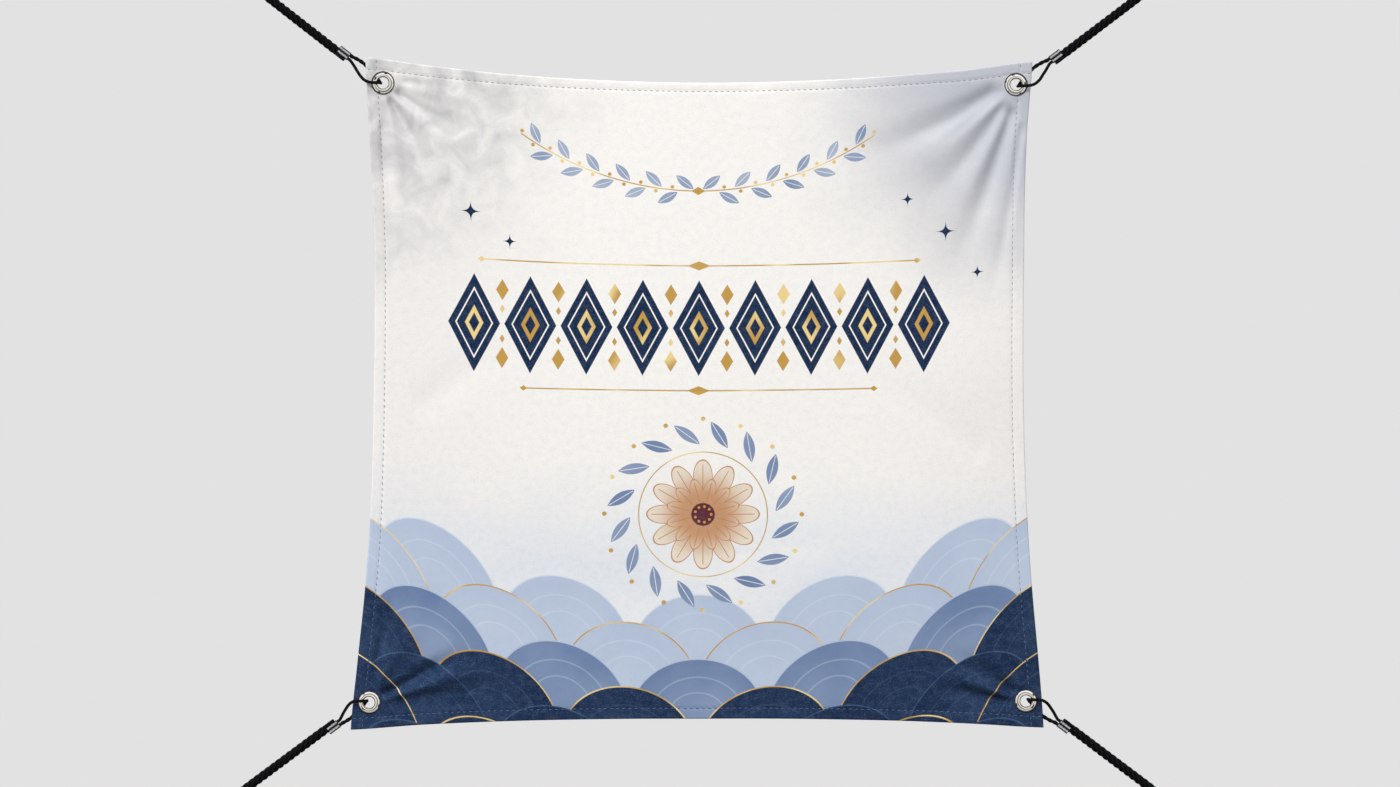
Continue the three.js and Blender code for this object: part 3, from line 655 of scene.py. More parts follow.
def printed_canvas():
    """The cloth, as a front and a back skin on one grid, joined round its edge and its four holes.

    Both skins follow cloth_depth. At the very edge they curve together. The front has a soft groove along
    each stitch line, and the back stands out over the turned hem. Each point also keeps its place on the
    flat cloth before hanging, where the turned part of the hem lies beyond the edge.
    """
    shares = line_shares()
    count = len(shares)
    u, v = np.meshgrid(shares, shares)
    x, z = cloth_point(u, v)
    from_left, from_right = u * CLOTH_SIDE, (1 - u) * CLOTH_SIDE
    from_top, from_bottom = v * CLOTH_SIDE, (1 - v) * CLOTH_SIDE
    from_edge = np.min([from_left, from_right, from_top, from_bottom], axis=0)

    hole = eyelet_distance(x, z)
    for corner in CORNER_LIST:
        ex, ez = corner.eyelet
        away = np.hypot(x - ex, z - ez)
        near = np.abs(away - CLOTH_HOLE_RADIUS) < HOLE_PULL
        pull = np.where(near, CLOTH_HOLE_RADIUS / away.clip(1e-9), 1)
        x, z = ex + (x - ex) * pull, ez + (z - ez) * pull

    depth = cloth_depth(x, z)
    rounding = EDGE_ROUND * (1 - np.sqrt(np.clip(1 - (1 - from_edge / EDGE_ROUND_WIDTH).clip(0) ** 2, 0, 1)))
    grooves = sum(
        STITCH_GROOVE * np.exp(-(((inwards - stitch_inset(edge, share)) / STITCH_GROOVE_WIDTH) ** 2))
        for edge, inwards, share in (("left", from_left, v), ("right", from_right, v), ("top", from_top, u),
                                     ("bottom", from_bottom, u)))
    front = depth + FRONT_FACE + rounding + grooves.clip(0, STITCH_GROOVE)
    in_hem = from_edge < HEM_WIDTH
    across = np.minimum(from_left, from_right) < HEM_WIDTH
    down = np.minimum(from_top, from_bottom) < HEM_WIDTH
    hem_back = HEM_BACK + HEM_LAP * (across & down) - rounding
    back = depth + np.where(in_hem, hem_back, BACK_FACE)

    flat_x, flat_z = (u - 0.5) * CLOTH_SIDE, -v * CLOTH_SIDE
    turned_x = np.where(across, np.sign(u - 0.5) * CLOTH_SIDE - flat_x, flat_x)
    turned_z = np.where(down, np.where(v < 0.5, v, v - 2) * CLOTH_SIDE, flat_z)
    front_place = together(flat_x, flat_z, 1.0)
    back_place = together(np.where(in_hem, turned_x, flat_x), np.where(in_hem, turned_z, flat_z), in_hem)

    faces = grid_faces(count, count)
    kept = faces[(hole.ravel()[faces] > CLOTH_HOLE_RADIUS - HOLE_PULL).all(axis=1)]
    sides = np.stack([kept, np.roll(kept, -1, axis=1)], axis=-1).reshape(-1, 2)
    _, first, times = np.unique(np.sort(sides, axis=1), axis=0, return_index=True, return_counts=True)
    rim = sides[first[times == 1]]
    skin = count * count
    joining = np.stack([rim[:, 1], rim[:, 0], rim[:, 0] + skin, rim[:, 1] + skin], axis=1)
    points = np.stack([together(x, front, z), together(x, back, z)]).reshape(-1, 3)
    faces = np.concatenate([kept, kept[:, ::-1] + skin, joining])
    place = np.stack([front_place, back_place]).reshape(-1, 3)
    used = np.unique(faces)
    number = np.full(len(points), -1)
    number[used] = np.arange(len(used))

    mesh = bpy.data.meshes.new("printed_canvas")
    mesh.from_pydata(points[used], [], number[faces])
    attribute = mesh.attributes.new("flat_place", "FLOAT_VECTOR", "POINT")
    attribute.data.foreach_set("vector", place[used].ravel())
    mesh.shade_smooth()
    canvas = bpy.data.objects.new("printed_canvas", mesh)
    bpy.context.scene.collection.objects.link(canvas)
    return settle(canvas, "cloth", "banner_cloth")


# Stitches

STITCH_PITCH = 5.4 * MM
STITCH_LENGTH = 3.4 * MM
STITCH_STOP = 1.2 * MM  # the least gap between a stitch and an eyelet
THREAD_RADIUS = 0.32 * MM
STITCH_RINGS = 7
STITCH_SIDES = 6


def hem_stitches():
    """Every stitch of the four hems, front and back, as a short thread that dips in at both ends.

    Along a stitch, t runs from 0 to 1: its middle line rises by a thread's radius * sin(pi t) from the
    cloth, and its radius is the thread's times sqrt(sin(pi t)) kept above a third.
    """
    starts, ends, risings = [], [], []
    for edge in ("top", "bottom", "left", "right"):
        number = int(CLOTH_SIDE / STITCH_PITCH)
        share = (np.arange(number) + 0.5) / number
        half = STITCH_LENGTH / 2 / CLOTH_SIDE
        for face, rising in ((FRONT_FACE, -1), (HEM_BACK, 1)):
            tips = []
            for way in (-half, half):
                s = share + way
                inset = stitch_inset(edge, s) / CLOTH_SIDE
                u, v = {"top": (s, inset), "bottom": (s, 1 - inset), "left": (inset, s),
                        "right": (1 - inset, s)}[edge]
                x, z = cloth_point(u, v)
                sunk = STITCH_GROOVE if rising < 0 else 0
                tips.append(together(x, cloth_depth(x, z) + face + sunk, z))
            away = np.min([eyelet_distance(*tip.T[::2]) for tip in tips], axis=0)
            clear = away > FLANGE_RADIUS + STITCH_STOP
            starts.append(tips[0][clear])
            ends.append(tips[1][clear])
            risings.append(np.full(clear.sum(), rising))
    start, end = np.concatenate(starts), np.concatenate(ends)
    rise = np.concatenate(risings)[:, None] * np.array([0.0, 1.0, 0.0])
    t = np.linspace(0, 1, STITCH_RINGS)[None, :, None]
    hump = np.sin(np.pi * t)
    middle = start[:, None] + (end - start)[:, None] * t + rise[:, None] * THREAD_RADIUS * (1.2 * hump - 0.5)
    side = unit(np.cross(end - start, rise))
    radius = THREAD_RADIUS * np.sqrt(hump.clip(0))[..., None]
    around = np.linspace(0, 2 * np.pi, STITCH_SIDES + 1)[None, None, :, None]
    ring = np.cos(around) * side[:, None, None] + np.sin(around) * rise[:, None, None]
    stitches = new_piece("hem_stitches", *several_grids(middle[:, :, None] + radius * ring))
    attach(stitches, "root")
    return stitches


# Eyelets

EYELET_SIDES = 72
# Profiles (radius, y) in millimetres: the rolled front flange with its barrel, and the back washer
FLANGE_PROFILE = (
    (5.2, 2.4), (5.2, -1.15), (5.3, -1.7), (5.55, -2.15), (6.0, -2.48), (6.5, -2.6), (7.0, -2.54),
    (7.7, -2.35), (8.5, -2.08), (9.2, -1.78), (9.8, -1.46), (10.25, -1.16), (10.5, -0.95),
    (10.6, -0.82), (10.45, -0.7), (10.1, -0.72), (6.0, -0.75), (5.9, -0.6), (5.9, 2.0), (6.3, 2.0),
    (7.0, 2.0), (7.15, 2.2), (7.1, 2.55), (6.7, 2.7), (5.7, 2.7), (5.3, 2.62),
)
WASHER_PROFILE = (
    (6.2, 0.95), (9.9, 0.9), (10.0, 1.0), (9.95, 1.3), (9.6, 1.65), (9.0, 1.8), (6.5, 1.8), (6.25, 1.7),
)


def turned_ring(name, profile, eyelet):
    """A closed profile (radius, y) turned about the line through an eyelet's middle."""
    outline = np.array(profile + profile[:1]) * MM
    angle = np.linspace(0, 2 * np.pi, EYELET_SIDES + 1)[:, None]
    radius, y = outline.T
    points = together(eyelet[0] + radius * np.cos(angle), y, eyelet[1] + radius * np.sin(angle))
    return new_piece(name, points, grid_faces(*points.shape[:2]))


def make_eyelet(corner):
    kinds = (("rolled_eyelet", FLANGE_PROFILE, "eyelet"), ("back_washer", WASHER_PROFILE, "washer"))
    return [settle(turned_ring(f"{name}_{corner.name}", profile, corner.eyelet), "nickel",
                   f"{node}_{corner.name}") for name, profile, node in kinds]


# Materials

def shade(red, green, blue):
    """A display colour of 0 to 255 as the linear colour that a shader takes."""
    display = np.array([red, green, blue]) / 255
    linear = np.where(display <= 0.04045, display / 12.92, ((display + 0.055) / 1.055) ** 2.4)
    return (*linear.tolist(), 1.0)


EDGE_SOFT = 0.5  # millimetres over which one printed colour turns into the next


class Finish:
    """A material, with short ways to add nodes to it."""

    def __init__(self, name, **sockets):
        self.material = bpy.data.materials.new(name)
        self.material.use_nodes = True
        self.tree = self.material.node_tree
        self.shader = self.tree.nodes["Principled BSDF"]
        for socket, value in sockets.items():
            self.shader.inputs[socket.replace("_", " ")].default_value = value

    def put(self, socket, value):
        """Gives a socket a number or colour, or links a field or another socket to it."""
        value = value.socket if isinstance(value, Field) else value
        if isinstance(value, bpy.types.NodeSocket):
            self.tree.links.new(value, socket)
        else:
            socket.default_value = value

    def node(self, kind, inputs=(), **settings):
        node = self.tree.nodes.new(kind)
        for name, value in settings.items():
            setattr(node, name, value)
        for key, value in dict(inputs).items():
            self.put(node.inputs[key], value)
        return node

    def give(self, socket, value):
        """Gives one of the shader's own sockets a field or a colour."""
        self.put(self.shader.inputs[socket], value)

    def split(self, vector):
        """A vector's three fields."""
        return [Field(self, part) for part in self.node("ShaderNodeSeparateXYZ", {0: vector}).outputs]

    def noise(self, place, scale, detail=2.0, distortion=0.0):
        """A cloudy field from 0 to 1, about scale lumps to a unit of place."""
        node = self.node("ShaderNodeTexNoise", {"Vector": place, "Scale": scale, "Detail": detail,
                                                "Distortion": distortion})
        return Field(self, node.outputs[0])

    def mix(self, share, under, over):
        """The colour under where share is 0, and over where it is 1."""
        node = self.node("ShaderNodeMix", {0: share, 6: under, 7: over}, data_type="RGBA")
        return node.outputs[2]

    def relief(self, height, distance):
        """Raises the surface by a field of 0 to 1 over a distance."""
        node = self.node("ShaderNodeBump", {"Height": height, "Distance": distance})
        self.give("Normal", node.outputs[0])

    def dye(self, share, colour):
        """Prints a colour over the cloth's ground so far, where share is 1."""
        self.ground = self.mix(share, self.ground, colour)

    def leaf(self, along, out, slant, wide, long, tone, vein, present=1.0):
        """Prints a slanting leaf, |across| / wide + (along / long) squared under 1, and its ivory vein."""
        half_vein, vein_end = vein
        x = along * math.cos(slant) + out * math.sin(slant)
        z = out * math.cos(slant) - along * math.sin(slant)
        size = abs(z) / wide + (x / long).square()
        self.dye(size.below(1.0, 0.1) * present, tone)
        self.dye(z.near(half_vein, 0.2) * size.below(vein_end, 0.1) * present, IVORY)

    def use(self, *pieces):
        for piece in pieces:
            piece.data.materials.clear()
            piece.data.materials.append(self.material)


def by_node(operation):
    """A method that puts a field, and what else it is given, through a Math node."""
    return lambda field, *others: field.math(operation, *others)


class Field:
    """A number worked out at each point of a surface. Arithmetic on it adds Math nodes."""

    def __init__(self, finish, socket):
        self.finish = finish
        self.socket = socket

    def math(self, operation, *others):
        node = self.finish.node("ShaderNodeMath", operation=operation)
        for slot, value in zip(node.inputs, (self, *others)):
            self.finish.put(slot, value)
        return Field(self.finish, node.outputs[0])

    __add__, __sub__ = by_node("ADD"), by_node("SUBTRACT")
    __mul__, __truediv__ = by_node("MULTIPLY"), by_node("DIVIDE")
    __abs__, sine, cosine = by_node("ABSOLUTE"), by_node("SINE"), by_node("COSINE")
    least, most = by_node("MINIMUM"), by_node("MAXIMUM")

    def __neg__(self):
        return self * -1.0

    def square(self):
        return self * self

    def length(self, other):
        """The distance from 0 of the point (self, other)."""
        return (self.square() + other.square()).math("SQRT")

    def angle(self, other):
        """The angle of the point (self, other) from the first axis, in radians."""
        return other.math("ARCTAN2", self)

    def in_cell(self, pitch):
        """The place in a cell of that pitch, from -pitch / 2 to pitch / 2, with a cell centred on 0."""
        return (self + pitch / 2).math("FLOORED_MODULO", pitch) - pitch / 2

    def is_odd_cell(self, pitch):
        """1 in every second cell of that pitch and 0 in the others."""
        return ((self + pitch / 2) / pitch).math("FLOOR").math("FLOORED_MODULO", 2.0)

    def below(self, edge, soft=EDGE_SOFT):
        """1 where the field is under the edge and 0 where it is over, turning over a width of soft."""
        levels = {0: self, 1: edge - soft / 2, 2: edge + soft / 2, 3: 1.0, 4: 0.0}
        node = self.finish.node("ShaderNodeMapRange", levels, interpolation_type="SMOOTHSTEP")
        return Field(self.finish, node.outputs[0])

    def above(self, edge, soft=EDGE_SOFT):
        return (-self).below(-edge, soft)

    def near(self, reach, soft=EDGE_SOFT):
        """1 within that reach of 0."""
        return abs(self).below(reach, soft)


IVORY = shade(246, 243, 238)
NAVY = shade(9, 33, 66)
MID_BLUE = shade(98, 121, 160)
PALE_BLUE = shade(178, 191, 213)
WASH_BLUE = shade(208, 217, 230)
DENIM = shade(52, 76, 110)
# cool grey wash, darkened to also paint the shade in the upper right corner
COOL_WASH_AND_SHADE = shade(184, 187, 197)
STONE = shade(228, 225, 223)
# smoke grey wash, darkened to also paint the shade beside the upper left eyelet
SMOKE_WASH_AND_SHADE = shade(152, 153, 158)
LEAF_BLUE = shade(120, 138, 172)
GOLD = shade(194, 152, 68)
# painted highlight on the gold ink
PAINTED_GOLD_HIGHLIGHT = shade(236, 210, 142)
CREAM = shade(233, 222, 204)
CRUST = shade(190, 130, 76)
WINE = shade(92, 34, 46)
FADED = shade(140, 160, 190)


def lozenge(x, z, wide, high, soft=0.1):
    """1 where |x| / wide + |z| / high is under 1, and 0 outside."""
    return (abs(x) / wide + abs(z) / high).below(1.0, soft)


CORNER_WASH_AND_SHADE_PLACE = (330, 20)  # how far to each side, and how high, the corner washes and their painted shade have their middles


def washes(finish, x, z, cloud):
    """Faint watercolour: stone grey along the cloth's sides, a blotchy smoke grey in its upper left corner,
    a cool grey in its upper right corner and blue low down, all with cloudy edges. Both corner greys
    are partly painted shade: they are darkened to stand for the shade that falls in those corners."""
    finish.dye(abs(x - 20).above(230, 260) * 0.5, STONE)
    blots = (finish.noise(finish.place, 40.0, 6.0, 0.8) - 0.22) * 1.5
    aside, high = CORNER_WASH_AND_SHADE_PLACE
    left, right = (x + aside).length(z - high), (x - aside).length(z - high)
    # painted shade, partly print wash: smoke grey blots over the upper left corner
    finish.dye((left + cloud * 90).below(200, 190) * blots.most(0.08).least(0.85), SMOKE_WASH_AND_SHADE)
    # painted shade, partly print wash: cool grey over the upper right corner
    finish.dye((right + cloud * 50).below(200, 190) * 0.9, COOL_WASH_AND_SHADE)
    low = (z + cloud * 90).below(-380, 110) * 0.75
    finish.dye(low * (cloud * 0.9 + 0.35), WASH_BLUE)


SCALE_RADIUS = 60.0
SCALE_STEP = 31.0
SCALE_TOP = 552  # of the first row's foot below the cloth's top, in the middle
SCALE_LIFT = 0.00112  # times x squared: how far the rows rise towards the corners
# Rows of scales from the top: wash, its paler rings and its rim, which is gold where it says None
SCALE_ROWS = ((PALE_BLUE, WASH_BLUE, WASH_BLUE), (PALE_BLUE, WASH_BLUE, None),
              (MID_BLUE, PALE_BLUE, PALE_BLUE)) + ((NAVY, DENIM, None), (NAVY, DENIM, DENIM)) * 2


def scale_border(finish, x, z, cloud):
    """Rows of overlapping round scales along the bottom, lifted towards both lower corners.

    Row by row from the top, each half-circle scale covers the row above. A scale is a wash that pales
    towards its foot, two rings within it, and a rim.
    """
    lifted = z - x.square() * SCALE_LIFT
    for number, (fill, ring, rim) in enumerate(SCALE_ROWS):
        across = (x + (SCALE_RADIUS if number % 2 else 0.0)).in_cell(2 * SCALE_RADIUS)
        away = across.length(lifted + SCALE_TOP + SCALE_STEP * number)
        scale = finish.mix((away / SCALE_RADIUS).below(0.62, 0.75) * 0.16 + cloud * 0.34, fill, ring)
        for share in (0.70, 0.45):
            scale = finish.mix((away - SCALE_RADIUS * share).near(0.7) * 0.4, scale, ring)
        scale = finish.mix(away.above(SCALE_RADIUS - 1.2), scale, rim or finish.gold)
        finish.dye(away.below(SCALE_RADIUS), scale)


def frieze(finish, x, z, cloud):
    """Nine upright lozenges in navy, each with an ivory line and a gold heart, small gold lozenges between
    them, and a gold rule above and below. In a cell, a lozenge is |x| / width + |z| / height under 1."""
    pitch, width, height, middle = 53.0, 24.5, 46.0, -236.0
    in_row = x.near(4.5 * pitch, 0.1)
    up = abs(z - middle)
    size = abs(x.in_cell(pitch)) / width + up / height
    finish.dye(size.below(1.0, 0.03) * in_row, finish.mix(cloud * 0.15, NAVY, DENIM))
    finish.dye((size - 0.70).near(0.03, 0.02) * in_row, IVORY)
    finish.dye(size.below(0.36, 0.03) * in_row, finish.gold)
    finish.dye(size.below(0.20, 0.03) * in_row, NAVY)
    between = (x + pitch / 2).in_cell(pitch)
    small = lozenge(between, up - 32, 6.0, 10.0).most(lozenge(between, up - 14, 2.4, 4.0, 0.15))
    finish.dye(small * x.near(4 * pitch, 0.1), finish.gold)
    for rule, reach in ((middle + 60, 205.0), (middle - 60, 165.0)):
        line = (z - rule).near(0.62, 0.3) * x.near(reach, 1.0)
        heart = lozenge(x, z - rule, 11, 4.4)
        tips = lozenge(abs(x) - reach, z - rule, 3.6, 2.6)
        finish.dye(line.most(heart).most(tips), finish.gold)


PETALS = 12
RING_LEAVES = 16
ROSETTE_MIDDLE = (4, -415)
LEAF_RING, DOT_RING, GOLD_RING = 78, 92, 60  # radii in millimetres
RING_TURN = 0.2  # of the leaves, in radians


def rosette(finish, x, z, cloud):
    """A flower in cream and brown with a wine-coloured heart, inside a ring of blue leaves and gold dots.

    Petals and leaves repeat round the middle: the angle is taken within its cell, which gives the place
    along and across one petal. A petal is an ellipse.
    """
    away_x, away_z = x - ROSETTE_MIDDLE[0], z - ROSETTE_MIDDLE[1]
    away, angle = away_x.length(away_z), away_x.angle(away_z)

    def petal_place(count, shift=0.0):
        within = (angle + shift).in_cell(2 * math.pi / count)
        return away * within.cosine(), away * within.sine()

    along, across = petal_place(RING_LEAVES, RING_TURN)
    tone = finish.mix((angle + RING_TURN).is_odd_cell(2 * math.pi / RING_LEAVES), MID_BLUE, LEAF_BLUE)
    tone = finish.mix(cloud * 0.6, tone, PALE_BLUE)
    finish.leaf(along - LEAF_RING, across, 0.75, 5.2, 15, tone, (0.28, 0.8))
    along, across = petal_place(RING_LEAVES, RING_TURN + math.pi / RING_LEAVES)
    finish.dye((along - DOT_RING).length(across).below(2.1), finish.gold)
    finish.dye((away - GOLD_RING).near(0.5, 0.3), finish.gold)
    for middle, long, wide, shift in ((36, 17, 9.2, 0.0), (22, 13, 6.0, math.pi / PETALS)):
        along, across = petal_place(PETALS, shift)
        petal = ((along - middle) / long).square() + (across / wide).square()
        tone = finish.mix((away / 52).below(0.62, 0.6) * 0.8 + cloud * 0.2, CREAM, CRUST)
        finish.dye(petal.below(1.0, 0.1), tone)
        finish.dye((petal - 0.93).near(0.07, 0.05), CRUST)
        finish.dye(across.near(0.35, 0.2) * petal.below(0.5, 0.1), CRUST)
    finish.dye(away.below(11), WINE)
    along, across = petal_place(9)
    finish.dye((along - 7.6).length(across).below(1.3), finish.gold)


def garland(finish, x, z, cloud):
    """A hanging leaf chain under the top hem. Its stem is an arc of a circle about a point above the
    cloth. Its leaves repeat along the arc, above it and below it by turns, mirrored about the middle."""
    radius, centre_z, pitch = 300.0, 196.0, 30.0
    up = z - centre_z
    walked = (-up).angle(abs(x)) * radius
    off = abs(x).length(up) - radius
    finish.dye(off.near(0.55, 0.3) * walked.below(174, 1.0), finish.gold)
    for side, tint, first, last in ((-1.0, LEAF_BLUE, 0, 6), (1.0, MID_BLUE, 0.5, 5.5)):
        first, last = first * pitch, last * pitch
        within = (walked - first - pitch / 2).in_cell(pitch)
        out = off * side - 8.0
        present = walked.below(last, 0.1) * walked.above(first, 0.1)
        tone = finish.mix(cloud * 0.9, tint, WASH_BLUE)
        finish.leaf(within + 2, out, 0.62, 4.2, 10.5, tone, (0.25, 0.7), present)
        finish.dye((within - 9.5).length(out + 5.2).below(1.7) * present, finish.gold)
    finish.dye(lozenge(x, off, 6.5, 4.0), finish.gold)


# Middles (x, z) and sizes in millimetres
FLORETS = ((-214, -132, 6.4), (-178, -158, 4.6), (232, -150, 6.0), (196, -118, 4.4), (262, -190, 4.2))


def florets(finish, x, z):
    """Small navy flowers of four petals: |a| + |b| plus a share of the root of |a b| makes the star."""
    for middle_x, middle_z, size in FLORETS:
        a, b = abs(x - middle_x), abs(z - middle_z)
        star = ((a * b).math("SQRT") * 1.7 + (a + b) * 0.55) / size
        finish.dye(star.below(1.0, 0.12), NAVY)


HEM_ROW = 10.2 * MM  # of the stitches' dimples and puckers, from the edge
HEM_ROW_WIDTH = 2.6 * MM


def canvas_finish():
    """Printed canvas: the print on its face, plain at the back, with thread slubs and stitch dimples."""
    finish = Finish("printed_cotton_canvas", Roughness=0.72, Specular_IOR_Level=0.18, Sheen_Weight=0.04)
    place = finish.node("ShaderNodeAttribute", attribute_name="flat_place").outputs["Vector"]
    across, down, printed = finish.split(place)
    x, z = across * 1000, down * 1000
    cloud = ((finish.noise(place, 14.0, 4.0, 0.4) - 0.3) * 1.6).most(0.0).least(1.0)
    finish.place, finish.ground = place, IVORY
    # gold ink with patches of painted highlight where the noise is high
    finish.gold = finish.mix(finish.noise(place, 16.0, 1.0).above(0.54, 0.16), GOLD, PAINTED_GOLD_HIGHLIGHT)
    washes(finish, x, z, cloud)
    scale_border(finish, x, z, cloud)
    garland(finish, x, z, cloud)
    florets(finish, x, z)
    frieze(finish, x, z, cloud)
    rosette(finish, x, z, cloud)

    across_threads = finish.node("ShaderNodeCombineXYZ", {0: across * 0.25, 1: down})
    down_threads = finish.node("ShaderNodeCombineXYZ", {0: across, 1: down * 0.25})
    slubs = finish.noise(across_threads.outputs[0], 900.0) + finish.noise(down_threads.outputs[0], 900.0)
    mottle = finish.noise(place, 150.0, 5.0)
    grain = finish.noise(place, 800.0, 3.0)
    fading = (slubs - 0.85) * 0.08 + (mottle - 0.47) * 0.25 + (grain - 0.47) * 0.42
    finish.dye(fading.most(0.0), FADED)
    plain = finish.mix(0.90, finish.ground, IVORY)
    finish.give("Base Color", finish.mix(printed, plain, finish.ground))

    from_side = (abs(abs(across) - CLOTH_SIDE / 2)).least(abs(down)).least(abs(down + CLOTH_SIDE))
    hem_rows = ((from_side - HEM_ROW).square() / -(HEM_ROW_WIDTH**2)).math("EXPONENT")
    dimples = hem_rows * ((across + down) * (2 * math.pi / STITCH_PITCH)).sine()
    puckers = hem_rows * (finish.noise(place, 130.0, 2.0) - 0.5)
    height = slubs * 0.10 + grain * 0.10 + mottle * 0.10 + dimples * 0.12 + puckers * 0.5
    finish.relief(height, 0.5 * MM)
    return finish


def object_place(finish):
    return finish.node("ShaderNodeTexCoord").outputs["Object"]


def own_map(finish):
    """The two fields of the map that new_piece gave to a piece."""
    return finish.split(finish.node("ShaderNodeUVMap", uv_map="places").outputs[0])[:2]


def nickel_finish():
    """Polished nickel plate with fine rubbing and a few duller patches."""
    finish = Finish("polished_nickel", Metallic=1.0, Base_Color=shade(222, 216, 209))
    place = object_place(finish)
    rubbed = finish.noise(place, 900.0, 3.0)
    finish.give("Roughness", rubbed * 0.06 + finish.noise(place, 160.0) * 0.06 + 0.02)
    finish.relief(rubbed, 0.02 * MM)
    return finish


def ferrule_finish():
    """Bare pressed aluminium, scratched along, with painted shade darkening the groove between its barrels
    and its two ends.
    """
    finish = Finish("pressed_aluminium", Metallic=1.0)
    grain = finish.noise(object_place(finish), 1500.0, 3.0)
    from_groove, along = own_map(finish)
    from_end = abs(abs(along) - 0.5)
    # painted shade: the base colour goes dark near the groove between the barrels and near the ends
    painted_shade = from_groove.below(0.20, 0.34).most(from_end.below(0.03, 0.07)) * (grain * 0.5 + 0.6)
    colour = finish.mix(grain, shade(216, 216, 218), shade(160, 160, 164))
    finish.give("Base Color", finish.mix(painted_shade, colour, shade(30, 29, 29)))
    finish.give("Roughness", grain * 0.25 + 0.14)
    finish.relief(grain, 0.06 * MM)
    return finish


def rope_finish(name, yarns, climb, relief):
    """Black fibre: yarns as ridges of the piece's own map, yarns * around + climb * along, a little dusty,
    with painted shade making the grooves between the yarns darker than their crests.
    """
    finish = Finish(name, Roughness=0.66, Specular_IOR_Level=0.16)
    around, along = own_map(finish)
    ridges = ((around * yarns + along * climb) * (2 * math.pi)).sine() * 0.5 + 0.5
    dust = finish.noise(object_place(finish), 420.0, 4.0)
    # painted shade: grooves between the yarns darker than their crests, plus random dust
    tone = finish.mix(dust * 0.5 + ridges * 0.35, shade(4, 4, 5), shade(23, 23, 26))
    finish.give("Base Color", tone)
    finish.relief(ridges + dust * 0.6, relief)
    return finish


def twine_finish():
    """Black waxed twine."""
    finish = Finish("waxed_twine", Roughness=0.48, Specular_IOR_Level=0.4)
    dust = finish.noise(object_place(finish), 700.0, 4.0)
    finish.give("Base Color", finish.mix(dust, shade(6, 6, 7), shade(28, 28, 30)))
    finish.relief(dust, 0.12 * MM)
    return finish


NAVY_LEVEL = -0.455  # below it the print is navy, and so is the thread


def thread_finish():
    """Pale grey sewing thread, which took the blue low on the cloth when it was printed."""
    finish = Finish("grey_thread", Roughness=0.7, Sheen_Weight=0.1)
    place = object_place(finish)
    twist = finish.noise(place, 1600.0, 2.0)
    height = finish.split(place)[2]
    grey = finish.mix(twist, shade(142, 143, 149), shade(178, 178, 182))
    blue = finish.mix(twist, shade(66, 88, 126), shade(102, 124, 158))
    finish.give("Base Color", finish.mix(height.below(NAVY_LEVEL, 0.02), grey, blue))
    finish.relief(twist, 0.1 * MM)
    return finish


# Studio

BANNER_MIDDLE = np.array([0, 0, -CLOTH_SIDE / 2])
CARD_SIZE = 0.5
CARD_DISTANCE = 2.2
CARDS = ((90, 50), (152, 47), (8, 49), (-48, 51), (-130, 50))  # degrees round the line of sight, and off it
FLOOR_LEVEL = -2.3
FLOOR_RADIUS = 9.0
FLOOR_RINGS, FLOOR_SIDES = 8, 64
PAPER = shade(72, 72, 73)
PAPER_GRAIN = shade(62, 62, 63)
PAPER_GLOW = 0.68  # the even part of its paleness, so that no lamp burns it out


def unseen(thing, *rays):
    """Hides a stage piece or a lamp from those kinds of rays."""
    for ray in rays:
        setattr(thing, f"visible_{ray}", False)


def make_floor():
    """A plain pale round floor, a disc of rings, two metres under the banner's middle. It throws no light or
    shade back up."""
    radius = np.linspace(0, FLOOR_RADIUS, FLOOR_RINGS + 1)[:, None]
    angle = np.linspace(0, 2 * np.pi, FLOOR_SIDES + 1)[None, :]
    points = together(radius * np.cos(angle), radius * np.sin(angle), FLOOR_LEVEL)
    floor = new_piece("studio_floor", points, grid_faces(*points.shape[:2]))
    unseen(floor, "glossy", "diffuse", "shadow")
    finish = Finish("floor_paper", Roughness=0.9, Specular_IOR_Level=0.0, Emission_Strength=PAPER_GLOW,
                    Emission_Color=(0.985, 0.98, 0.98, 1))
    grain = finish.noise(object_place(finish), 30.0, 3.0)
    finish.give("Base Color", finish.mix(grain, PAPER, PAPER_GRAIN))
    finish.use(floor)


# How light the room is, for what it lights by height, 0 being down, and for what mirrors it by how far
# back the direction lies, 0 being its front, 0.5 its sides and 1 its back
ROOM_LIGHT = ((0.0, 0.05), (0.42, 0.10), (0.50, 0.34), (0.62, 0.58), (1.0, 0.80))
ROOM_MIRRORED = ((0.0, 1.0), (0.02, 1.0), (0.05, 0.22), (0.085, 0.28), (0.12, 1.0), (0.165, 0.90),
                 (0.225, 0.12), (0.30, 0.02), (0.74, 0.04), (0.86, 0.45), (0.94, 0.50), (1.0, 0.40))


def light_ramp(nodes, levels):
    """A ramp of nearly neutral greys at the given places and levels."""
    ramp = nodes.new("ShaderNodeValToRGB")
    while len(ramp.color_ramp.elements) < len(levels):
        ramp.color_ramp.elements.new(0.5)
    for element, (place, level) in zip(ramp.color_ramp.elements, levels):
        element.position = place
        element.color = (level * 0.985, level * 0.99, level, 1)
    return ramp


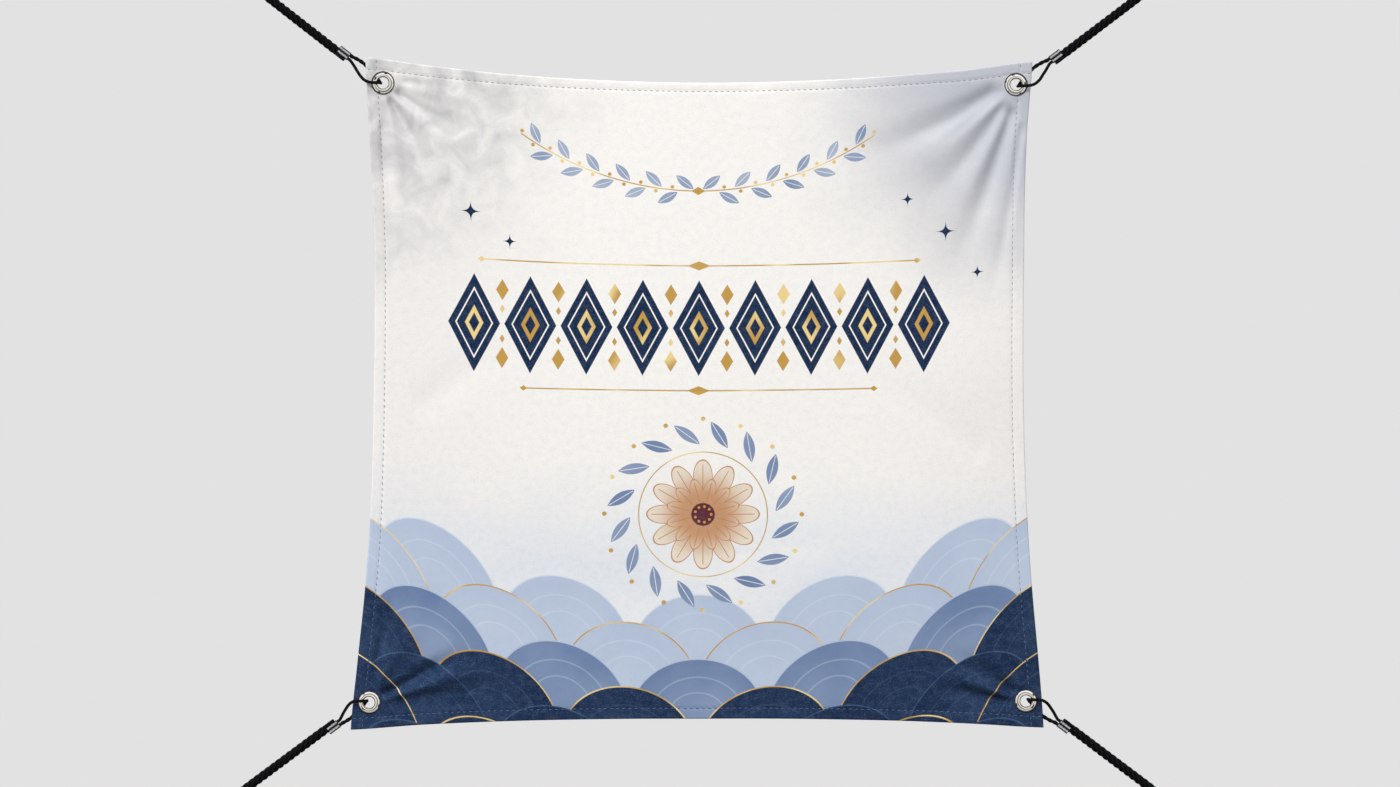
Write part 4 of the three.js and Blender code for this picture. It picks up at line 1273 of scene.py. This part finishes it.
def make_room():
    """A pale room: its backdrop is even, and the light that it throws comes mostly from above. In mirrors
    it is bright in front, dark at the sides, which draws the outlines of polished metal, dim at the back,
    and darker below than above."""
    world = bpy.data.worlds.new("studio_room")
    world.use_nodes = True
    bpy.context.scene.world = world
    nodes = world.node_tree.nodes
    backdrop = nodes["Background"]
    backdrop.inputs[0].default_value = shade(227, 226, 226)
    direction, parts, sight, light, mirror, bounce, choice = (nodes.new(f"ShaderNode{kind}") for kind in (
        "TexCoord", "SeparateXYZ", "LightPath", "Background", "Background", "MixShader", "MixShader"))
    height, backward, upper = (nodes.new("ShaderNodeMapRange") for _ in range(3))
    height.inputs[1].default_value = backward.inputs[1].default_value = -1.0
    upper.inputs[3].default_value, upper.inputs[4].default_value = 0.6, 1.8
    lit, mirrored = light_ramp(nodes, ROOM_LIGHT), light_ramp(nodes, ROOM_MIRRORED)
    links = (
        (direction, "Generated", parts, 0), (parts, 2, height, 0), (parts, 1, backward, 0),
        (height, 0, lit, 0), (height, 0, upper, 0), (backward, 0, mirrored, 0), (lit, 0, light, 0),
        (mirrored, 0, mirror, 0), (upper, 0, mirror, 1), (sight, "Is Glossy Ray", bounce, 0),
        (light, 0, bounce, 1), (mirror, 0, bounce, 2), (sight, "Is Camera Ray", choice, 0),
        (bounce, 0, choice, 1), (backdrop, 0, choice, 2), (choice, 0, nodes["World Output"], 0),
    )
    for source, output, target, entry in links:
        world.node_tree.links.new(source.outputs[output], target.inputs[entry])


def new_lamp(kind, name, power, look):
    """A lamp that shines in the direction look, unseen itself and in mirrors."""
    lamp = bpy.data.lights.new(name, kind)
    lamp.energy = power
    light = bpy.data.objects.new(name, lamp)
    light.rotation_euler = Vector(look).to_track_quat("-Z", "Y").to_euler()
    unseen(light, "camera", "glossy")
    bpy.context.scene.collection.objects.link(light)
    return light


def soft_light(name, place, size, power, warmth=1.0):
    """A square soft light that faces the banner's middle."""
    light = new_lamp("AREA", name, power, BANNER_MIDDLE - np.array(place))
    light.location = place
    light.data.size = size
    light.data.color = (1.0, warmth**0.5, warmth)


def dark_card(number, turn, off):
    """A dark square card that only polished metal mirrors, as studios use to draw edges on it. It faces the
    banner from the front, so many degrees round the line of sight and off it."""
    turn, off = math.radians(turn), math.radians(off)
    aside = math.sin(off)
    place = CARD_DISTANCE * np.array([aside * math.cos(turn), -math.cos(off), aside * math.sin(turn)])
    look = unit(BANNER_MIDDLE - place)
    right = unit(np.cross(look, [0, 0, 1]))
    up = np.cross(right, look)
    half = CARD_SIZE / 2
    points = np.array([place + side * right + rise * up for side, rise in (
        (-half, -half), (half, -half), (half, half), (-half, half))])
    card = new_piece(f"card_{number}", points, np.array([[0, 1, 2, 3]]))
    unseen(card, "camera", "transmission", "diffuse", "shadow")
    felt = Finish(f"card_{number}_felt", Roughness=1.0, Specular_IOR_Level=0.0)
    felt.give("Base Color", (0.01, 0.01, 0.01, 1))
    felt.use(card)


# Everything in its order: camera and cords first

make_camera()
cords = {corner.name: make_cords(corner) for corner in CORNER_LIST}
clamps, tails, seizings, rings = [], [], [], []
for corner in CORNER_LIST:
    clamp, tail, seizing = ferrule_clamp(corner), cord_tail(corner), seizing_wrap(corner)
    declare_cords(corner, *cords[corner.name], clamp, tail, seizing)
    clamps.append(clamp)
    tails.append(tail)
    seizings.append(seizing)
    rings.extend(make_eyelet(corner))

canvas = printed_canvas()
stitches = hem_stitches()

canvas_finish().use(canvas)
thread_finish().use(stitches)
nickel_finish().use(*rings)
ferrule_finish().use(*clamps)
rope_finish("black_rope", 5.0, 10.0, 0.25 * MM).use(*[rope for rope, _ in cords.values()])
rope_finish("black_braid", 8.0, 3.0, 0.10 * MM).use(*[loop for _, loop in cords.values()], *tails)
twine_finish().use(*seizings)

bpy.context.scene.view_settings.view_transform = "Standard"
make_room()
make_floor()
new_lamp("SUN", "daylight", 1.0, (0.15, 0.25, -1)).data.angle = 0.6
soft_light("key", (-3.2, -3.2, 3.2), 1.6, 240, 0.98)
soft_light("front", (0, -3.4, -0.6), 1.5, 17)
soft_light("fill", (2.4, -2.2, 0.0), 1.6, 7)
soft_light("back", (1.6, 5.2, 0.6), 3.0, 180)
for number, (turn, off) in enumerate(CARDS):
    dark_card(number, turn, off)
